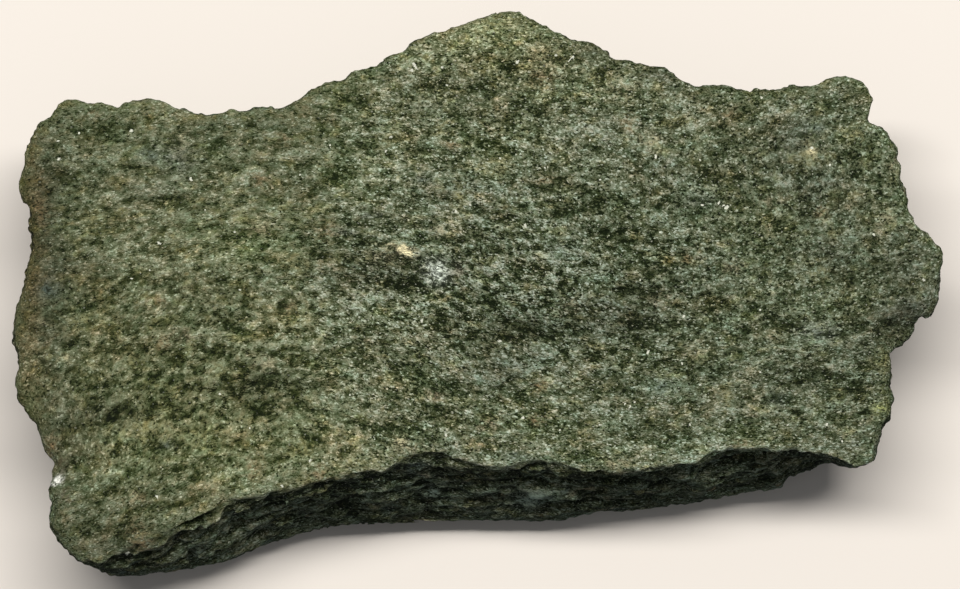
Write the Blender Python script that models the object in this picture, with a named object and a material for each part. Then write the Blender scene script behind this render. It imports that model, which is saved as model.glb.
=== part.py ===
"""One hand specimen of foliated greenstone, lying on its back with its split face up.

Metres, +Z up. The origin is the middle of the stone's bounding box in plan, on the plane that the stone
rests on. +X runs along its long side, +Y towards the peaked edge. The stone is a single closed solid.
"""

import math

import bmesh
import bpy
import numpy as np
from mathutils import geometry

# ---------------------------------------------------------------- driving dimensions
UNIT_MM = 0.125          # one plan unit is an eighth of a millimetre
PLAN_AXIS = (480.0, 294.5)  # plan point straight under the eye that the plan was drawn from
EYE_MM = 1000.0          # height of that eye above the face level
FACE_MM = 20.0           # level of the split face, where the plan is true to size
RIM_IN_MM = 0.55         # how far the face's rim stands in from the widest outline
RIM_DROP_MM = 0.5        # how far the worn rim falls below the face
REST_DEPTH_MM = 1.1      # how deep the resting flat cuts into the lowest plateau of the back
STATION_MM = 0.55        # spacing of the stations along the outline
VOXEL_MM = 0.95          # grain of the closed skin before it is thinned
TRIANGLES = 7600         # size of the finished solid
SEED = 11

# Plan outline of the widest level, clockwise from the upper left shoulder, in plan units with y downwards.
# Where two more numbers follow, they are the matching point of the face's rim, set back behind a fallen facet.
TOP = [
    (20, 183), (24, 165), (30, 144), (39, 123), (54, 113), (67, 101), (87, 104), (106, 103), (121, 109),
    (127, 104), (147, 100), (165, 101.5), (184, 109), (203, 114.5), (236, 107), (262, 108), (281, 109.5),
    (298, 101), (313, 90), (343, 81.5), (351, 71.5), (378, 65.5), (391, 55.5), (411, 44), (434, 33.5),
    (450, 29), (475, 22), (496, 13.5), (510, 11), (524, 17.5), (551, 30.5), (570, 39), (592, 44.5),
    (612, 59.5), (649, 67), (668, 72), (685, 84), (706, 86.5), (735, 90.5), (770, 90), (803, 86),
    (823, 82), (840, 77.5), (857, 81), (866, 90), (871, 100),
]
RIGHT = [
    (867.5, 109), (865.5, 121), (880, 126.5), (890, 140), (897, 152.5), (900, 169), (906, 199), (914, 218.5),
    (928, 236), (940.5, 253), (938.5, 286, 932, 287), (934, 303, 905, 311), (922, 319, 889, 317),
    (911, 331, 874, 323), (900, 341, 864, 337), (894, 350, 881, 347), (888, 366), (886.5, 385), (893, 397),
    (888, 418), (876, 438), (871, 455), (866, 462),
]
LOWER = [
    (850, 469), (836, 468), (822, 468), (803, 474), (787, 478.5), (779, 488), (748, 491), (725, 496),
    (700, 501), (670, 505), (640, 509), (610, 512), (590, 515), (560, 519), (530, 520), (480, 520.5),
    (440, 521), (390, 522), (350, 523), (320, 526.5), (300, 531), (270, 541), (240, 555), (210, 564),
    (170, 571), (130, 576), (110, 573.5),
]
LEFT = [
    (95, 567), (80, 558), (60, 540), (50, 530), (49, 515), (53, 500), (51, 492), (55, 470), (56, 460),
    (49, 452), (41, 434), (30, 414), (19, 400), (18, 375), (17.3, 353), (13.5, 340), (17.3, 312),
    (24, 290), (26.3, 271), (33, 246), (31, 222), (28.5, 205),
]
# The face's own rim along the lower side, right to left. The broken flank lies between it and LOWER.
LOWER_RIM = [
    (858, 464), (848, 461), (833, 457), (812, 449.5), (785, 447), (745, 449), (712, 451), (699, 462),
    (665, 465.5), (640, 469), (608, 472.5), (580, 470), (560, 462.5), (530, 460.5), (505, 466.5), (481, 464),
    (451, 458), (444, 452), (411, 454), (396, 462.5), (384, 473), (357, 470.5), (331, 478), (298, 486.5),
    (260, 495.5), (227, 498), (204, 513), (172, 530), (140, 545), (118, 555), (104, 565),
]
# Height of the widest level above the resting plane at some outline points, in millimetres.
WIDEST = [
    (20, 183, 16.0), (54, 113, 17.0), (184, 109, 16.6), (298, 101, 17.4), (434, 33.5, 16.8), (510, 11, 16.0),
    (612, 59.5, 16.6), (735, 90.5, 16.4), (871, 100, 15.2), (906, 199, 14.6), (940.5, 253, 14.2),
    (934, 303, 12.0), (911, 331, 11.0), (894, 350, 12.0), (893, 397, 12.0), (871, 455, 8.8),
    (850, 469, 6.4), (822, 468, 5.6), (803, 474, 5.0), (779, 488, 4.4), (700, 501, 3.8), (610, 512, 3.4),
    (530, 520, 3.3), (440, 521, 3.2), (350, 523, 3.4), (300, 531, 3.8), (240, 555, 4.4), (170, 571, 5.8),
    (130, 576, 7.2), (95, 567, 9.0), (60, 540, 11.5), (49, 515, 13.6), (56, 460, 15.4), (19, 400, 15.6),
    (13.5, 340, 16.0), (24, 290, 16.4),
]
# How far the back's rim stands in from the outline, at some outline points, in millimetres.
UNDERCUT = [
    (20, 183, 4.5), (184, 109, 5.5), (434, 33.5, 6.0), (510, 11, 7.0), (735, 90.5, 6.5), (871, 100, 7.0),
    (940.5, 253, 8.5), (911, 331, 6.5), (871, 455, 5.6), (822, 468, 4.8), (779, 488, 3.4), (700, 501, 2.6),
    (530, 520, 2.2), (350, 523, 2.4), (240, 555, 3.2), (130, 576, 4.5), (60, 540, 5.0), (56, 460, 4.6),
    (19, 400, 4.4), (24, 290, 4.0),
]
# Planes of the broken back: slope along +X, slope along +Y, height at the origin, in millimetres. The back
# follows the highest of them at each point, so the first, which is almost level, is its lowest plateau.
BACK_PLANES = [
    (0.006, -0.004, 0.0),
    (0.090, -0.020, -0.1), (0.230, 0.080, -5.0),      # towards the thin right end
    (0.020, 0.120, -0.1), (0.030, 0.360, -4.4),        # towards the peaked edge
    (-0.080, -0.020, -0.7), (-0.200, -0.040, -5.2),    # towards the left end
    (-0.020, -0.110, -0.1),                            # towards the steep flank
    (0.320, -0.100, -13.4), (0.300, 0.270, -13.0), (-0.230, 0.220, -10.5), (-0.250, -0.200, -13.0),
]


# ---------------------------------------------------------------- smooth seeded noise
def corner(ix, iy, iz, seed):
    """A repeatable number from 0 to 1 for each lattice corner."""
    h = (ix * 374761393 + iy * 668265263 + iz * 1440662683 + seed * 1274126177) & 0xFFFFFFFF
    h = ((h ^ (h >> 13)) * 1274126177) & 0xFFFFFFFF
    h = ((h ^ (h >> 16)) * 2246822519) & 0xFFFFFFFF
    return ((h ^ (h >> 13)) & 0xFFFFFF) / 0xFFFFFF


def noise(x, y, z, seed):
    """Gradient noise, about -1 to 1, at points given in cells."""
    x, y, z = np.broadcast_arrays(np.asarray(x, float), np.asarray(y, float), np.asarray(z, float))
    fx, fy, fz = np.floor(x), np.floor(y), np.floor(z)
    ix, iy, iz = (f.astype(np.int64) for f in (fx, fy, fz))
    u, v, w = x - fx, y - fy, z - fz
    su, sv, sw = (t * t * t * (t * (t * 6 - 15) + 10) for t in (u, v, w))
    total = np.zeros(x.shape)
    for a in (0, 1):
        for b in (0, 1):
            for c in (0, 1):
                turn = corner(ix + a, iy + b, iz + c, seed) * 2 * math.pi
                rise = corner(ix + a, iy + b, iz + c, seed + 77) * 2 - 1
                flat = np.sqrt(1 - rise * rise)
                slope = flat * np.cos(turn) * (u - a) + flat * np.sin(turn) * (v - b) + rise * (w - c)
                weight = (su if a else 1 - su) * (sv if b else 1 - sv) * (sw if c else 1 - sw)
                total += weight * slope
    return total * 1.5


def fractal(x, y, z, seed, octaves):
    total, gain = 0.0, 1.0
    for i in range(octaves):
        total = total + gain * noise(x * 2**i, y * 2**i, z * 2**i, seed + 13 * i)
        gain *= 0.5
    return total


# ---------------------------------------------------------------- levels and lines
def face_level(x, y):
    """Height of the split face, with its slow rise and fall."""
    dome = np.exp(-(((x + 8) / 46) ** 2) - ((y - 1) / 26) ** 2)
    corner_fall = np.exp(-(((x + 52) / 13) ** 2) - ((y + 36) / 11) ** 2)
    return (
        FACE_MM
        + 1.5 * dome
        - 0.010 * x
        - 1.7 * corner_fall
        + 0.55 * noise(x / 27, y / 21, 0.3, SEED)
        + 0.22 * fractal(x / 9.5, y / 6.5, 0.7, SEED + 1, 2)
    )


def back_level(x, y):
    """Height of the broken back: the highest of its planes, with low plate steps."""
    level = np.max([a * x + b * y + c for a, b, c in BACK_PLANES], axis=0)
    return level - REST_DEPTH_MM + 0.35 * noise(x / 15, y / 12, 5.3, SEED + 2)


def along(points):
    """Running length of a closed line."""
    step = np.linalg.norm(np.roll(points, -1, 0) - points, axis=1)
    return np.concatenate([[0], np.cumsum(step)])


def resampled(line, count):
    """The same open line at evenly spaced points, its last point left to the next line."""
    line = np.asarray(line, float)
    run = np.concatenate([[0], np.cumsum(np.linalg.norm(np.diff(line, axis=0), axis=1))])
    t = np.linspace(0, run[-1], count, endpoint=False)
    return np.stack([np.interp(t, run, line[:, k]) for k in range(line.shape[1])], 1)


def smoothed(values, passes):
    for _ in range(passes):
        values = (np.roll(values, 1, 0) + 2 * values + np.roll(values, -1, 0)) / 4
    return values


def inward_of(points, passes):
    tangent = smoothed(np.roll(points, -1, 0) - np.roll(points, 1, 0), passes)
    tangent /= np.linalg.norm(tangent, axis=1)[:, None]
    return np.stack([tangent[:, 1], -tangent[:, 0]], 1)


def shrunk(ring, depth, steps):
    """The ring drawn inwards by a depth, in small steps that also ease its bends, so that it never crosses itself."""
    for _ in range(steps):
        ring = smoothed(ring + (np.ones(len(ring)) * depth / steps)[:, None] * inward_of(ring, 12), 6)
    return ring


def spread_along(outline, table):
    """Values given at some outline points, filled in between them by running length."""
    run = along(outline)
    at, value = [], []
    for x, y, v in table:
        at.append(run[np.argmin(np.hypot(outline[:, 0] - x, outline[:, 1] - y))])
        value.append(v)
    order = np.argsort(at)
    return smoothed(np.interp(run[:-1], np.array(at)[order], np.array(value)[order], period=run[-1]), 6)


# ---------------------------------------------------------------- the stone's rings
def rings():
    """Closed rings of points from the face, over the rim and down the flank, to the back, in millimetres."""
    def length(line):
        return float(np.sum(np.linalg.norm(np.diff(np.asarray(line, float), axis=0), axis=1))) * UNIT_MM

    shoulder = [p if len(p) == 4 else (*p, math.nan, math.nan) for p in TOP + RIGHT]
    sides = [p[:2] for p in shoulder]
    end = [p[:2] for p in LEFT]
    n_a = round(length(sides + LOWER[:1]) / STATION_MM)
    n_b = round(length(LOWER + end[:1]) / STATION_MM)
    n_c = round(length(end + sides[:1]) / STATION_MM)
    wide_a = resampled(sides + LOWER[:1], n_a)
    wide_b = resampled(LOWER + end[:1], n_b)
    wide_c = resampled(end + sides[:1], n_c)
    wide = np.concatenate([wide_a, wide_b, wide_c])

    level = spread_along(wide, WIDEST)
    undercut = spread_along(wide, UNDERCUT)
    # The rim of the face: a little inside the outline, or where the drawing puts it.
    outline = np.stack([(wide[:, 0] - PLAN_AXIS[0]), (PLAN_AXIS[1] - wide[:, 1])], 1) * UNIT_MM
    inn = inward_of(outline, 6)
    rim = outline + RIM_IN_MM * inn
    xs = np.array([p[0] for p in LOWER_RIM])[::-1]
    ys = np.array([p[1] for p in LOWER_RIM], float)[::-1]
    bx = wide_b[:, 0]
    low = np.stack([np.clip(bx, xs[0], xs[-1]), np.interp(bx, xs, ys)], 1)
    low_mm = np.stack([(low[:, 0] - PLAN_AXIS[0]), (PLAN_AXIS[1] - low[:, 1])], 1) * UNIT_MM
    rim[n_a:n_a + n_b] = low_mm
    # Facets that fell from the right side: their rim points are given.
    run = along(wide[: n_a + 1])
    given = [(p[0], p[1], p[2], p[3]) for p in shoulder if not math.isnan(p[2])]
    at = [run[np.argmin(np.hypot(wide[:n_a, 0] - g[0], wide[:n_a, 1] - g[1]))] for g in given]
    first, last = at[0] - 12, at[-1] + 12
    inside = (run[:n_a] > first) & (run[:n_a] < last)
    for k in (0, 1):
        target = np.array([(g[2 + k] - PLAN_AXIS[k]) * UNIT_MM * (1 if k == 0 else -1) for g in given])
        ends = [rim[np.argmin(np.abs(run[:n_a] - first)), k], rim[np.argmin(np.abs(run[:n_a] - last)), k]]
        rim[:n_a, k][inside] = np.interp(
            run[:n_a][inside], [first, *at, last], [ends[0], *target, ends[1]]
        )
    rim = smoothed(rim, 1)

    def at_level(points, height):
        return points * (1 + (FACE_MM - height) / EYE_MM)[:, None]

    z_rim = face_level(rim[:, 0], rim[:, 1]) - RIM_DROP_MM
    level = np.minimum(level, z_rim - 0.7)
    out = at_level(outline, level)
    rim = at_level(rim, z_rim)
    inner = shrunk(smoothed(rim, 2), 1.5, 8)
    z_inner = face_level(inner[:, 0], inner[:, 1])

    made = [(inner, z_inner), (rim, z_rim)]
    bulge = np.clip((z_rim - level - 4) / 10, 0, 1)
    for t in (0.33, 0.66):
        made.append((rim + (out - rim) * (t + 0.10 * bulge * math.sin(math.pi * t))[:, None], z_rim + (level - z_rim) * t))
    made.append((out, level))
    back = shrunk(smoothed(out, 20), undercut, 40)
    z_back = back_level(back[:, 0], back[:, 1])
    z_back = np.minimum(smoothed(z_back, 8), level - 1.2)
    for t, lean in ((0.45, 0.30), (0.85, 0.72)):
        made.append((out + (back - out) * lean, level + (z_back + 0.8 - level) * t))
    made.append((back, z_back + 0.25))
    last = shrunk(back, 2.2, 40)
    made.append((last, np.minimum(back_level(last[:, 0], last[:, 1]), z_back)))
    return made


def enclosed(ring, points):
    """Which of the points lie inside the ring."""
    x, y = points.T
    inside = np.zeros(len(points), bool)
    for i in range(len(ring)):
        (x0, y0), (x1, y1) = ring[i - 1], ring[i]
        if y0 != y1:
            inside ^= ((y0 > y) != (y1 > y)) & (x < (x1 - x0) * (y - y0) / (y1 - y0) + x0)
    return inside


def capped(ring, level_of, spacing):
    """Triangles that fill a ring, through inner points at the given level, and those points."""
    low, high = ring.min(0), ring.max(0)
    gx, gy = np.meshgrid(np.arange(low[0], high[0], spacing), np.arange(low[1], high[1], spacing))
    grid = np.stack([gx.ravel(), gy.ravel()], 1)
    grid[:, 0] += np.where((np.round((grid[:, 1] - low[1]) / spacing).astype(int) % 2) == 1, spacing / 2, 0)
    grid = grid[enclosed(ring, grid)]
    nearest = np.min(np.hypot(grid[:, None, 0] - ring[None, :, 0], grid[:, None, 1] - ring[None, :, 1]), 1)
    grid = grid[nearest > 0.75 * spacing]
    points = [tuple(p) for p in ring] + [tuple(p) for p in grid]
    border = [(i, (i + 1) % len(ring)) for i in range(len(ring))]
    flat, _, faces, *_ = geometry.delaunay_2d_cdt(points, border, [], 1, 1e-5, False)
    flat = np.array([tuple(p) for p in flat])
    faces = np.array([tuple(f) for f in faces])
    faces = faces[enclosed(ring, flat[faces].mean(1))]
    return flat, faces, level_of(flat[:, 0], flat[:, 1])


def skin():
    """The closed skin through all the rings, as a mesh in metres."""
    made = rings()
    count = len(made[0][0])
    bm = bmesh.new()
    rows = []
    for points, level in made:
        rows.append([bm.verts.new((p[0] / 1000, p[1] / 1000, z / 1000)) for p, z in zip(points, level)])
    for above, below in zip(rows, rows[1:]):
        for i in range(count):
            j = (i + 1) % count
            bm.faces.new((above[i], above[j], below[j], below[i]))
    for row, ring, level_of in ((rows[0], made[0], face_level), (rows[-1], made[-1], back_level)):
        flat, faces, level = capped(ring[0], level_of, 2.4)
        verts = []
        for k, (p, z) in enumerate(zip(flat, level)):
            gap = np.hypot(ring[0][:, 0] - p[0], ring[0][:, 1] - p[1])
            near = int(np.argmin(gap))
            verts.append(row[near] if gap[near] < 1e-4 else bm.verts.new((p[0] / 1000, p[1] / 1000, z / 1000)))
        for face in faces:
            bm.faces.new([verts[k] for k in face])
    bmesh.ops.recalc_face_normals(bm, faces=bm.faces)
    mesh = bpy.data.meshes.new("greenstone")
    bm.to_mesh(mesh)
    bm.free()
    return mesh


# ---------------------------------------------------------------- broken surface
def roughened(points, normals):
    """Moves the skin's points: low plates on the face and back, stacked ledges on the flank."""
    x, y, z = points.T
    up = normals[:, 2]
    face = np.clip((up - 0.55) / 0.3, 0, 1)
    back = np.clip((-up - 0.55) / 0.3, 0, 1)
    side = (1 - face - back) * np.clip((face_level(x, y) - z - 0.7) / 2.2, 0, 1)
    bed = z + 0.05 * x + 0.7 * noise(x / 14, y / 14, 2.1, SEED + 5)
    ledge = 0.55 * noise(x / 11, y / 11, bed / 2.6, SEED + 6) + 0.3 * noise(x / 4.5, y / 4.5, bed / 1.5, SEED + 7)
    plate = 0.22 * fractal(x / 7, y / 5, 0.0, SEED + 8, 3)
    step = 0.5 * np.tanh(4 * noise(x / 19, y / 13, 0.0, SEED + 9)) + 0.3 * np.tanh(5 * noise(x / 9, y / 7, 3.0, SEED + 10))
    flank = normals.copy()
    flank[:, 2] *= 0.3
    moved = points + flank * (side * ledge * 0.9)[:, None]
    moved[:, 2] += face * plate - back * (step + plate)
    return moved


def read(mesh):
    points = np.empty(len(mesh.vertices) * 3)
    mesh.vertices.foreach_get("co", points)
    normals = np.empty(len(mesh.vertices) * 3)
    mesh.vertices.foreach_get("normal", normals)
    return points.reshape(-1, 3), normals.reshape(-1, 3)


def with_modifier(obj, kind, **settings):
    """The object's mesh with one modifier worked into it."""
    modifier = obj.modifiers.new(kind.title(), kind)
    for name, value in settings.items():
        setattr(modifier, name, value)
    graph = bpy.context.evaluated_depsgraph_get()
    mesh = bpy.data.meshes.new_from_object(obj.evaluated_get(graph))
    obj.modifiers.clear()
    obj.data = mesh


def main():
    for old in list(bpy.data.objects):
        bpy.data.objects.remove(old, do_unlink=True)

    stone = bpy.data.objects.new("greenstone", skin())
    bpy.context.scene.collection.objects.link(stone)
    with_modifier(stone, "REMESH", mode="VOXEL", voxel_size=VOXEL_MM / 1000, adaptivity=0.0)

    points, normals = read(stone.data)
    moved = roughened(points * 1000, normals) / 1000
    stone.data.vertices.foreach_set("co", moved.ravel())
    stone.data.update()
    faces = sum(len(p.vertices) - 2 for p in stone.data.polygons)
    with_modifier(stone, "DECIMATE", decimate_type="COLLAPSE", ratio=TRIANGLES / faces, use_collapse_triangulate=True)

    # The resting flat: everything below the plane z = 0 is taken off and the cut is closed.
    bm = bmesh.new()
    bm.from_mesh(stone.data)
    for v in bm.verts:
        if abs(v.co.z) < 0.00012:
            v.co.z = 0.0
    bmesh.ops.bisect_plane(
        bm, geom=bm.verts[:] + bm.edges[:] + bm.faces[:], dist=1e-7,
        plane_co=(0, 0, 0), plane_no=(0, 0, 1), clear_inner=True,
    )
    rim = [e for e in bm.edges if e.is_boundary]
    bmesh.ops.holes_fill(bm, edges=rim, sides=0)
    bmesh.ops.triangulate(bm, faces=[f for f in bm.faces if len(f.verts) > 3])
    bmesh.ops.recalc_face_normals(bm, faces=bm.faces)
    low = [min(v.co[k] for v in bm.verts) for k in (0, 1)]
    high = [max(v.co[k] for v in bm.verts) for k in (0, 1)]
    bmesh.ops.translate(bm, verts=bm.verts, vec=(-(low[0] + high[0]) / 2, -(low[1] + high[1]) / 2, 0))
    bm.to_mesh(stone.data)
    bm.free()
    stone.data.shade_smooth()
    stone.data.set_sharp_from_angle(angle=math.radians(40))

    rock = bpy.data.materials.new("greenstone")
    rock.use_nodes = True
    shader = rock.node_tree.nodes["Principled BSDF"]
    shader.inputs["Base Color"].default_value = (0.118, 0.132, 0.082, 1)
    shader.inputs["Roughness"].default_value = 0.82
    shader.inputs["Metallic"].default_value = 0.0
    stone.data.materials.clear()
    stone.data.materials.append(rock)


main()
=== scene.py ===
"""The looks of a hand specimen of foliated greenstone, lying on its back with its split face up.

Metres, +Z up. +X runs along the stone's long side, +Y towards the peaked edge. The stone is one piece: a closed
skin is drawn through rings of points, grown into an even mesh, broken up by layered relief, thinned, and given a
procedural rock finish. Places are given in plan units, an eighth of a millimetre each, with y downwards.
"""

import math
import time

import bmesh
import bpy
import numpy as np
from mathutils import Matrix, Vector, geometry


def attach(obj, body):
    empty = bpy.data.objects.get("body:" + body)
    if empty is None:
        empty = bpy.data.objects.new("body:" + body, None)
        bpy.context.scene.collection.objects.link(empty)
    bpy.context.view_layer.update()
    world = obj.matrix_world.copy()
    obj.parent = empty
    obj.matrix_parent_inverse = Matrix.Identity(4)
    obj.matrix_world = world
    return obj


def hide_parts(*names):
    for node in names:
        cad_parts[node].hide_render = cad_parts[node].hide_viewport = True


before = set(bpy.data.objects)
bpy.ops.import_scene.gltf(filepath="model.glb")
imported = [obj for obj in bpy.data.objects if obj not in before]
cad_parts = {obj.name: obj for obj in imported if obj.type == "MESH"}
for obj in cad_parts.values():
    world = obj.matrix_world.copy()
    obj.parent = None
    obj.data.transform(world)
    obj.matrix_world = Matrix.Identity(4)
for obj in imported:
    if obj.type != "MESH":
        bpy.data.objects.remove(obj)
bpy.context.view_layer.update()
START = time.time()

# ---------------------------------------------------------------- driving dimensions
UNIT_MM = 0.125
PLAN_AXIS = (480.0, 294.5)
EYE_MM = 1000.0
FACE_MM = 20.0
STATION_MM = 0.28
EASE = (0.55 / STATION_MM) ** 2      # smoothing passes per pass at the coarse station
REST_DEPTH_MM = 1.1
SKIN_MM = 0.26
FINE_MM = 0.245
TRIANGLES = 196000
SEED = 11

# Widest outline, clockwise from the upper left shoulder.
TOP = [
    (19.5, 185), (20, 180), (21.5, 174), (23.5, 168), (25, 162), (26.5, 155), (28, 149), (30, 145), (31, 138),
    (33, 134), (37, 128), (39, 123), (42, 120.5), (46, 118), (51, 117), (54, 113.5), (57.5, 110), (60, 106),
    (63, 103), (67, 101), (71, 100), (75, 101.5), (80, 101), (85, 102), (87, 104), (91, 103.5), (96, 103),
    (101, 101.5), (106, 103.5), (110, 104.5), (114, 105.5), (118, 107.5), (121, 109), (124, 107), (126, 104),
    (131, 104), (136, 102), (140, 100.5), (147, 99.8), (153, 100), (157, 101), (161, 100.5), (165, 101.5),
    (169, 104), (173, 105.5), (178, 107.5), (180, 109), (184, 109), (190, 110), (194, 112), (197, 113.5),
    (203, 114.5), (209, 114), (216, 113), (222, 111.5), (228, 109.5), (232, 107.5), (236, 106.8), (240, 109),
    (244, 109.5), (251, 108.5), (254, 107), (262, 107.8), (270, 108), (275, 109.5), (281, 109.5), (286, 107.5),
    (290, 106.5), (294, 103), (298, 101), (302, 99), (306, 95), (309, 92.5), (313, 90), (320, 87.5), (324, 84.5),
    (330, 84), (336, 82.5), (343, 81.5), (346, 79), (349, 74), (351, 71.5), (355, 69.5), (360, 68.5), (368, 67),
    (371, 65), (375, 64.5), (378, 65.5), (381, 63.5), (385, 60), (387, 57.5), (391, 55.5), (395, 54.8), (400, 54),
    (402, 51.5), (405, 50), (408, 46.5), (411, 44), (415, 41), (420, 40), (426, 38.5), (431, 36.5), (434, 33.5),
    (440, 32.3), (445, 33), (447, 31.5), (450, 29), (455, 28.5), (460, 27.5), (467, 26), (475, 22), (481, 19),
    (486, 17), (490, 14.5), (493, 13.5), (496, 13.5), (500, 12), (504, 10.8), (510, 10.8), (515, 11.5), (518, 12),
    (521, 15), (524, 17.5), (528, 20), (531, 21), (537, 22.5), (543, 25.5), (548, 28), (551, 30.5), (556, 32.5),
    (560, 34.5), (565, 37), (570, 39), (576, 40), (581, 40.5), (587, 42.5), (592, 44.5), (597, 48.5), (601, 51.5),
    (605, 53), (609, 56.5), (612, 59.5), (617, 59.8), (621, 60), (626, 61), (630, 62), (634, 63.5), (638, 65),
    (646, 65.3), (649, 67), (655, 66.5), (660, 67), (664, 68.5), (668, 72), (672, 75), (677, 78), (681, 81.5),
    (685, 84), (688, 85), (692, 87), (695, 88.3), (698, 87.5), (701, 86), (706, 86.5), (712, 86), (718, 87),
    (724, 86.3), (728, 87), (730, 89), (735, 90.5), (742, 91), (750, 91.5), (754, 90), (762, 89.8), (770, 90),
    (776, 89.3), (781, 89), (784, 87.5), (790, 86), (795, 85.5), (803, 86), (812, 85.5), (818, 84.5), (823, 82),
    (828, 79.5), (834, 78.5), (840, 77.3), (846, 77.8), (851, 79.5), (857, 81), (862, 85), (866, 90), (869, 95),
    (871.5, 100),
]
RIGHT = [
    (871, 102.5), (868.5, 104.5), (867.5, 109), (867, 113), (866, 117), (865.5, 122), (868, 125), (870, 126.5),
    (875, 126.8), (880, 126.2), (883, 128.5), (886, 132), (888.5, 136), (890, 140), (893, 144), (895, 148),
    (897, 152.5), (896, 156), (893, 158.5), (894.3, 161), (897, 165), (900.5, 168.5), (899.5, 171), (897, 175),
    (899, 179.5), (901, 184), (903, 188.5), (905, 194), (906.5, 200), (905.5, 205), (907, 209), (909, 213.5),
    (911, 216), (914, 218.5), (913.5, 222), (916, 226), (919, 229), (921, 230.5), (924, 232), (927, 234),
    (928, 238), (930, 239), (932, 241.5), (933, 245.5), (938.5, 249), (940.5, 253), (941, 259), (940, 268),
    (938, 277), (936.5, 286), (935.5, 295), (935.5, 300), (932.5, 305), (930.5, 312), (927, 315), (922, 319),
    (917, 321), (914, 324), (911.5, 328), (911.5, 331), (909, 335), (904, 338), (900.5, 340), (900, 342),
    (896, 345), (894, 348), (893.5, 351), (889.5, 352.5), (889, 358), (888, 365), (888, 371), (887, 377),
    (886.5, 382), (885, 386), (886.5, 389), (888.5, 393), (890, 397), (889, 402), (888, 410), (887, 416),
    (885, 419.5), (882.5, 421), (880.5, 424), (877.5, 427.5), (877.5, 432), (875.5, 436), (874, 440), (873.3, 445),
    (871, 449), (872, 452), (870.5, 457), (870, 459), (867, 461.5), (862, 465),
]
LOWER = [
    (856, 468), (850, 469), (840, 468.5), (832, 467), (822, 468), (817, 470), (812, 472.5), (803, 474), (795, 477),
    (787, 478.5), (783, 484), (779, 488), (770, 489), (760, 490.5), (748, 491), (740, 493), (725, 496), (710, 499),
    (700, 501), (690, 503.5), (670, 505), (650, 508.5), (630, 510.5), (610, 511.5), (600, 513.5), (590, 516),
    (570, 519.5), (560, 521), (550, 521), (540, 522), (530, 522), (500, 522.5), (480, 522.5), (440, 523), (410, 523.5),
    (380, 524), (350, 525), (330, 526.5), (320, 529), (310, 530.5), (300, 533), (290, 537.5), (280, 540.5),
    (270, 543.5), (260, 547), (250, 552), (240, 557), (230, 561), (220, 564.5), (210, 566.5), (200, 568), (190, 569.5),
    (180, 571), (170, 572), (160, 572), (150, 573), (140, 575), (130, 576), (120, 575.5), (115, 574.5), (110, 573),
    (105, 571), (100, 570), (95, 567),
]
LEFT = [
    (90, 563), (85, 560.5), (80, 557.5), (75, 553.5), (70, 549.5), (65, 544.5), (61, 539.5), (58, 534), (56, 531),
    (53.5, 528.5), (53.2, 525.5), (53, 520), (53.2, 515), (53.3, 510), (54.3, 506.5), (55, 503), (55.5, 500), (54.5, 497),
    (52.5, 495), (51.5, 492), (52, 488), (52.5, 484), (52, 482.5), (54, 480), (54, 476), (55, 470), (55.5, 464),
    (56, 460), (54, 458.5), (51, 456.5), (49.5, 454), (48.5, 450), (46.5, 445), (43.5, 439), (41, 433), (40, 430),
    (38.5, 426), (36, 421), (32, 417), (29.5, 413), (28, 410), (26, 406.5), (22, 404), (20, 402), (19, 399),
    (18.7, 392), (18.5, 386), (17.5, 378), (18.3, 372), (18.5, 365), (17.8, 358), (17.3, 353), (16, 348),
    (14, 345), (13.5, 340), (14.5, 334), (15.5, 328), (16.5, 320), (17.3, 310), (17.5, 306), (19.5, 304),
    (21.5, 300), (23, 294), (24, 290), (24.5, 285), (26, 280), (26.3, 274), (26.5, 268), (28.5, 264), (30, 260),
    (31, 256), (33, 250), (33.3, 242), (33.5, 237), (32.5, 232), (30.8, 229), (30.5, 225), (31, 220), (30, 215),
    (29, 210), (29, 206), (27.5, 204), (24.5, 202), (23.5, 200), (21.5, 195), (20, 190),
]
# The face's own rim along the lower side, right to left. The broken flank lies between it and LOWER.
LOWER_RIM = [
    (855, 466), (848, 462), (840, 460), (833, 457.5), (826, 455), (820, 452.5), (812, 449.5), (803, 447.5),
    (795, 447), (785, 446.5), (775, 447.5), (765, 447.8), (755, 448.5), (745, 449), (735, 448), (722, 449.5),
    (712, 451), (706, 455), (702, 460), (696, 463.5), (688, 464.5), (680, 464.5), (672, 464.5), (665, 465.5),
    (658, 467.5), (652, 467), (645, 466), (640, 469.5), (633, 470), (625, 470), (615, 472), (608, 473),
    (600, 471), (592, 471.5), (586, 472.5), (580, 470.5), (574, 467), (568, 464), (560, 462.5), (552, 461.5),
    (545, 461), (538, 460), (530, 460.5), (524, 462), (517, 464), (510, 466.5), (502, 467), (495, 466.5),
    (487, 467), (481, 464.5), (474, 462), (466, 461), (458, 460.5), (451, 458.5), (447, 454), (444, 451.5),
    (437, 452), (428, 452.5), (420, 453.5), (411, 454), (405, 456), (400, 459), (396, 462.5), (391, 465.5),
    (387, 470), (384, 473.5), (378, 473.5), (371, 471.5), (365, 469.5), (357, 470.5), (350, 472), (342, 473),
    (336, 474.5), (331, 478), (325, 480), (318, 481), (312, 482.5), (305, 484), (298, 486.5), (292, 488.5),
    (284, 489.5), (275, 491), (268, 493), (260, 495.5), (252, 497.5), (243, 498), (235, 498), (227, 498),
    (222, 500), (216, 505), (210, 509), (204, 513), (198, 519), (192, 521), (185, 521.5), (179, 525), (172, 530),
    (166, 533), (160, 535), (150, 541), (140, 545), (128, 548), (118, 552), (108, 560), (100, 566),
]
# Where a facet fell from the right side: outline point, then the matching point of the face's rim.
FALLEN = [
    (938.5, 286, 932, 287), (934, 303, 905, 309), (922, 319, 889, 315), (911, 331, 872, 322), (900, 341, 864, 335),
    (894, 350, 881, 346),
]
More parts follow.
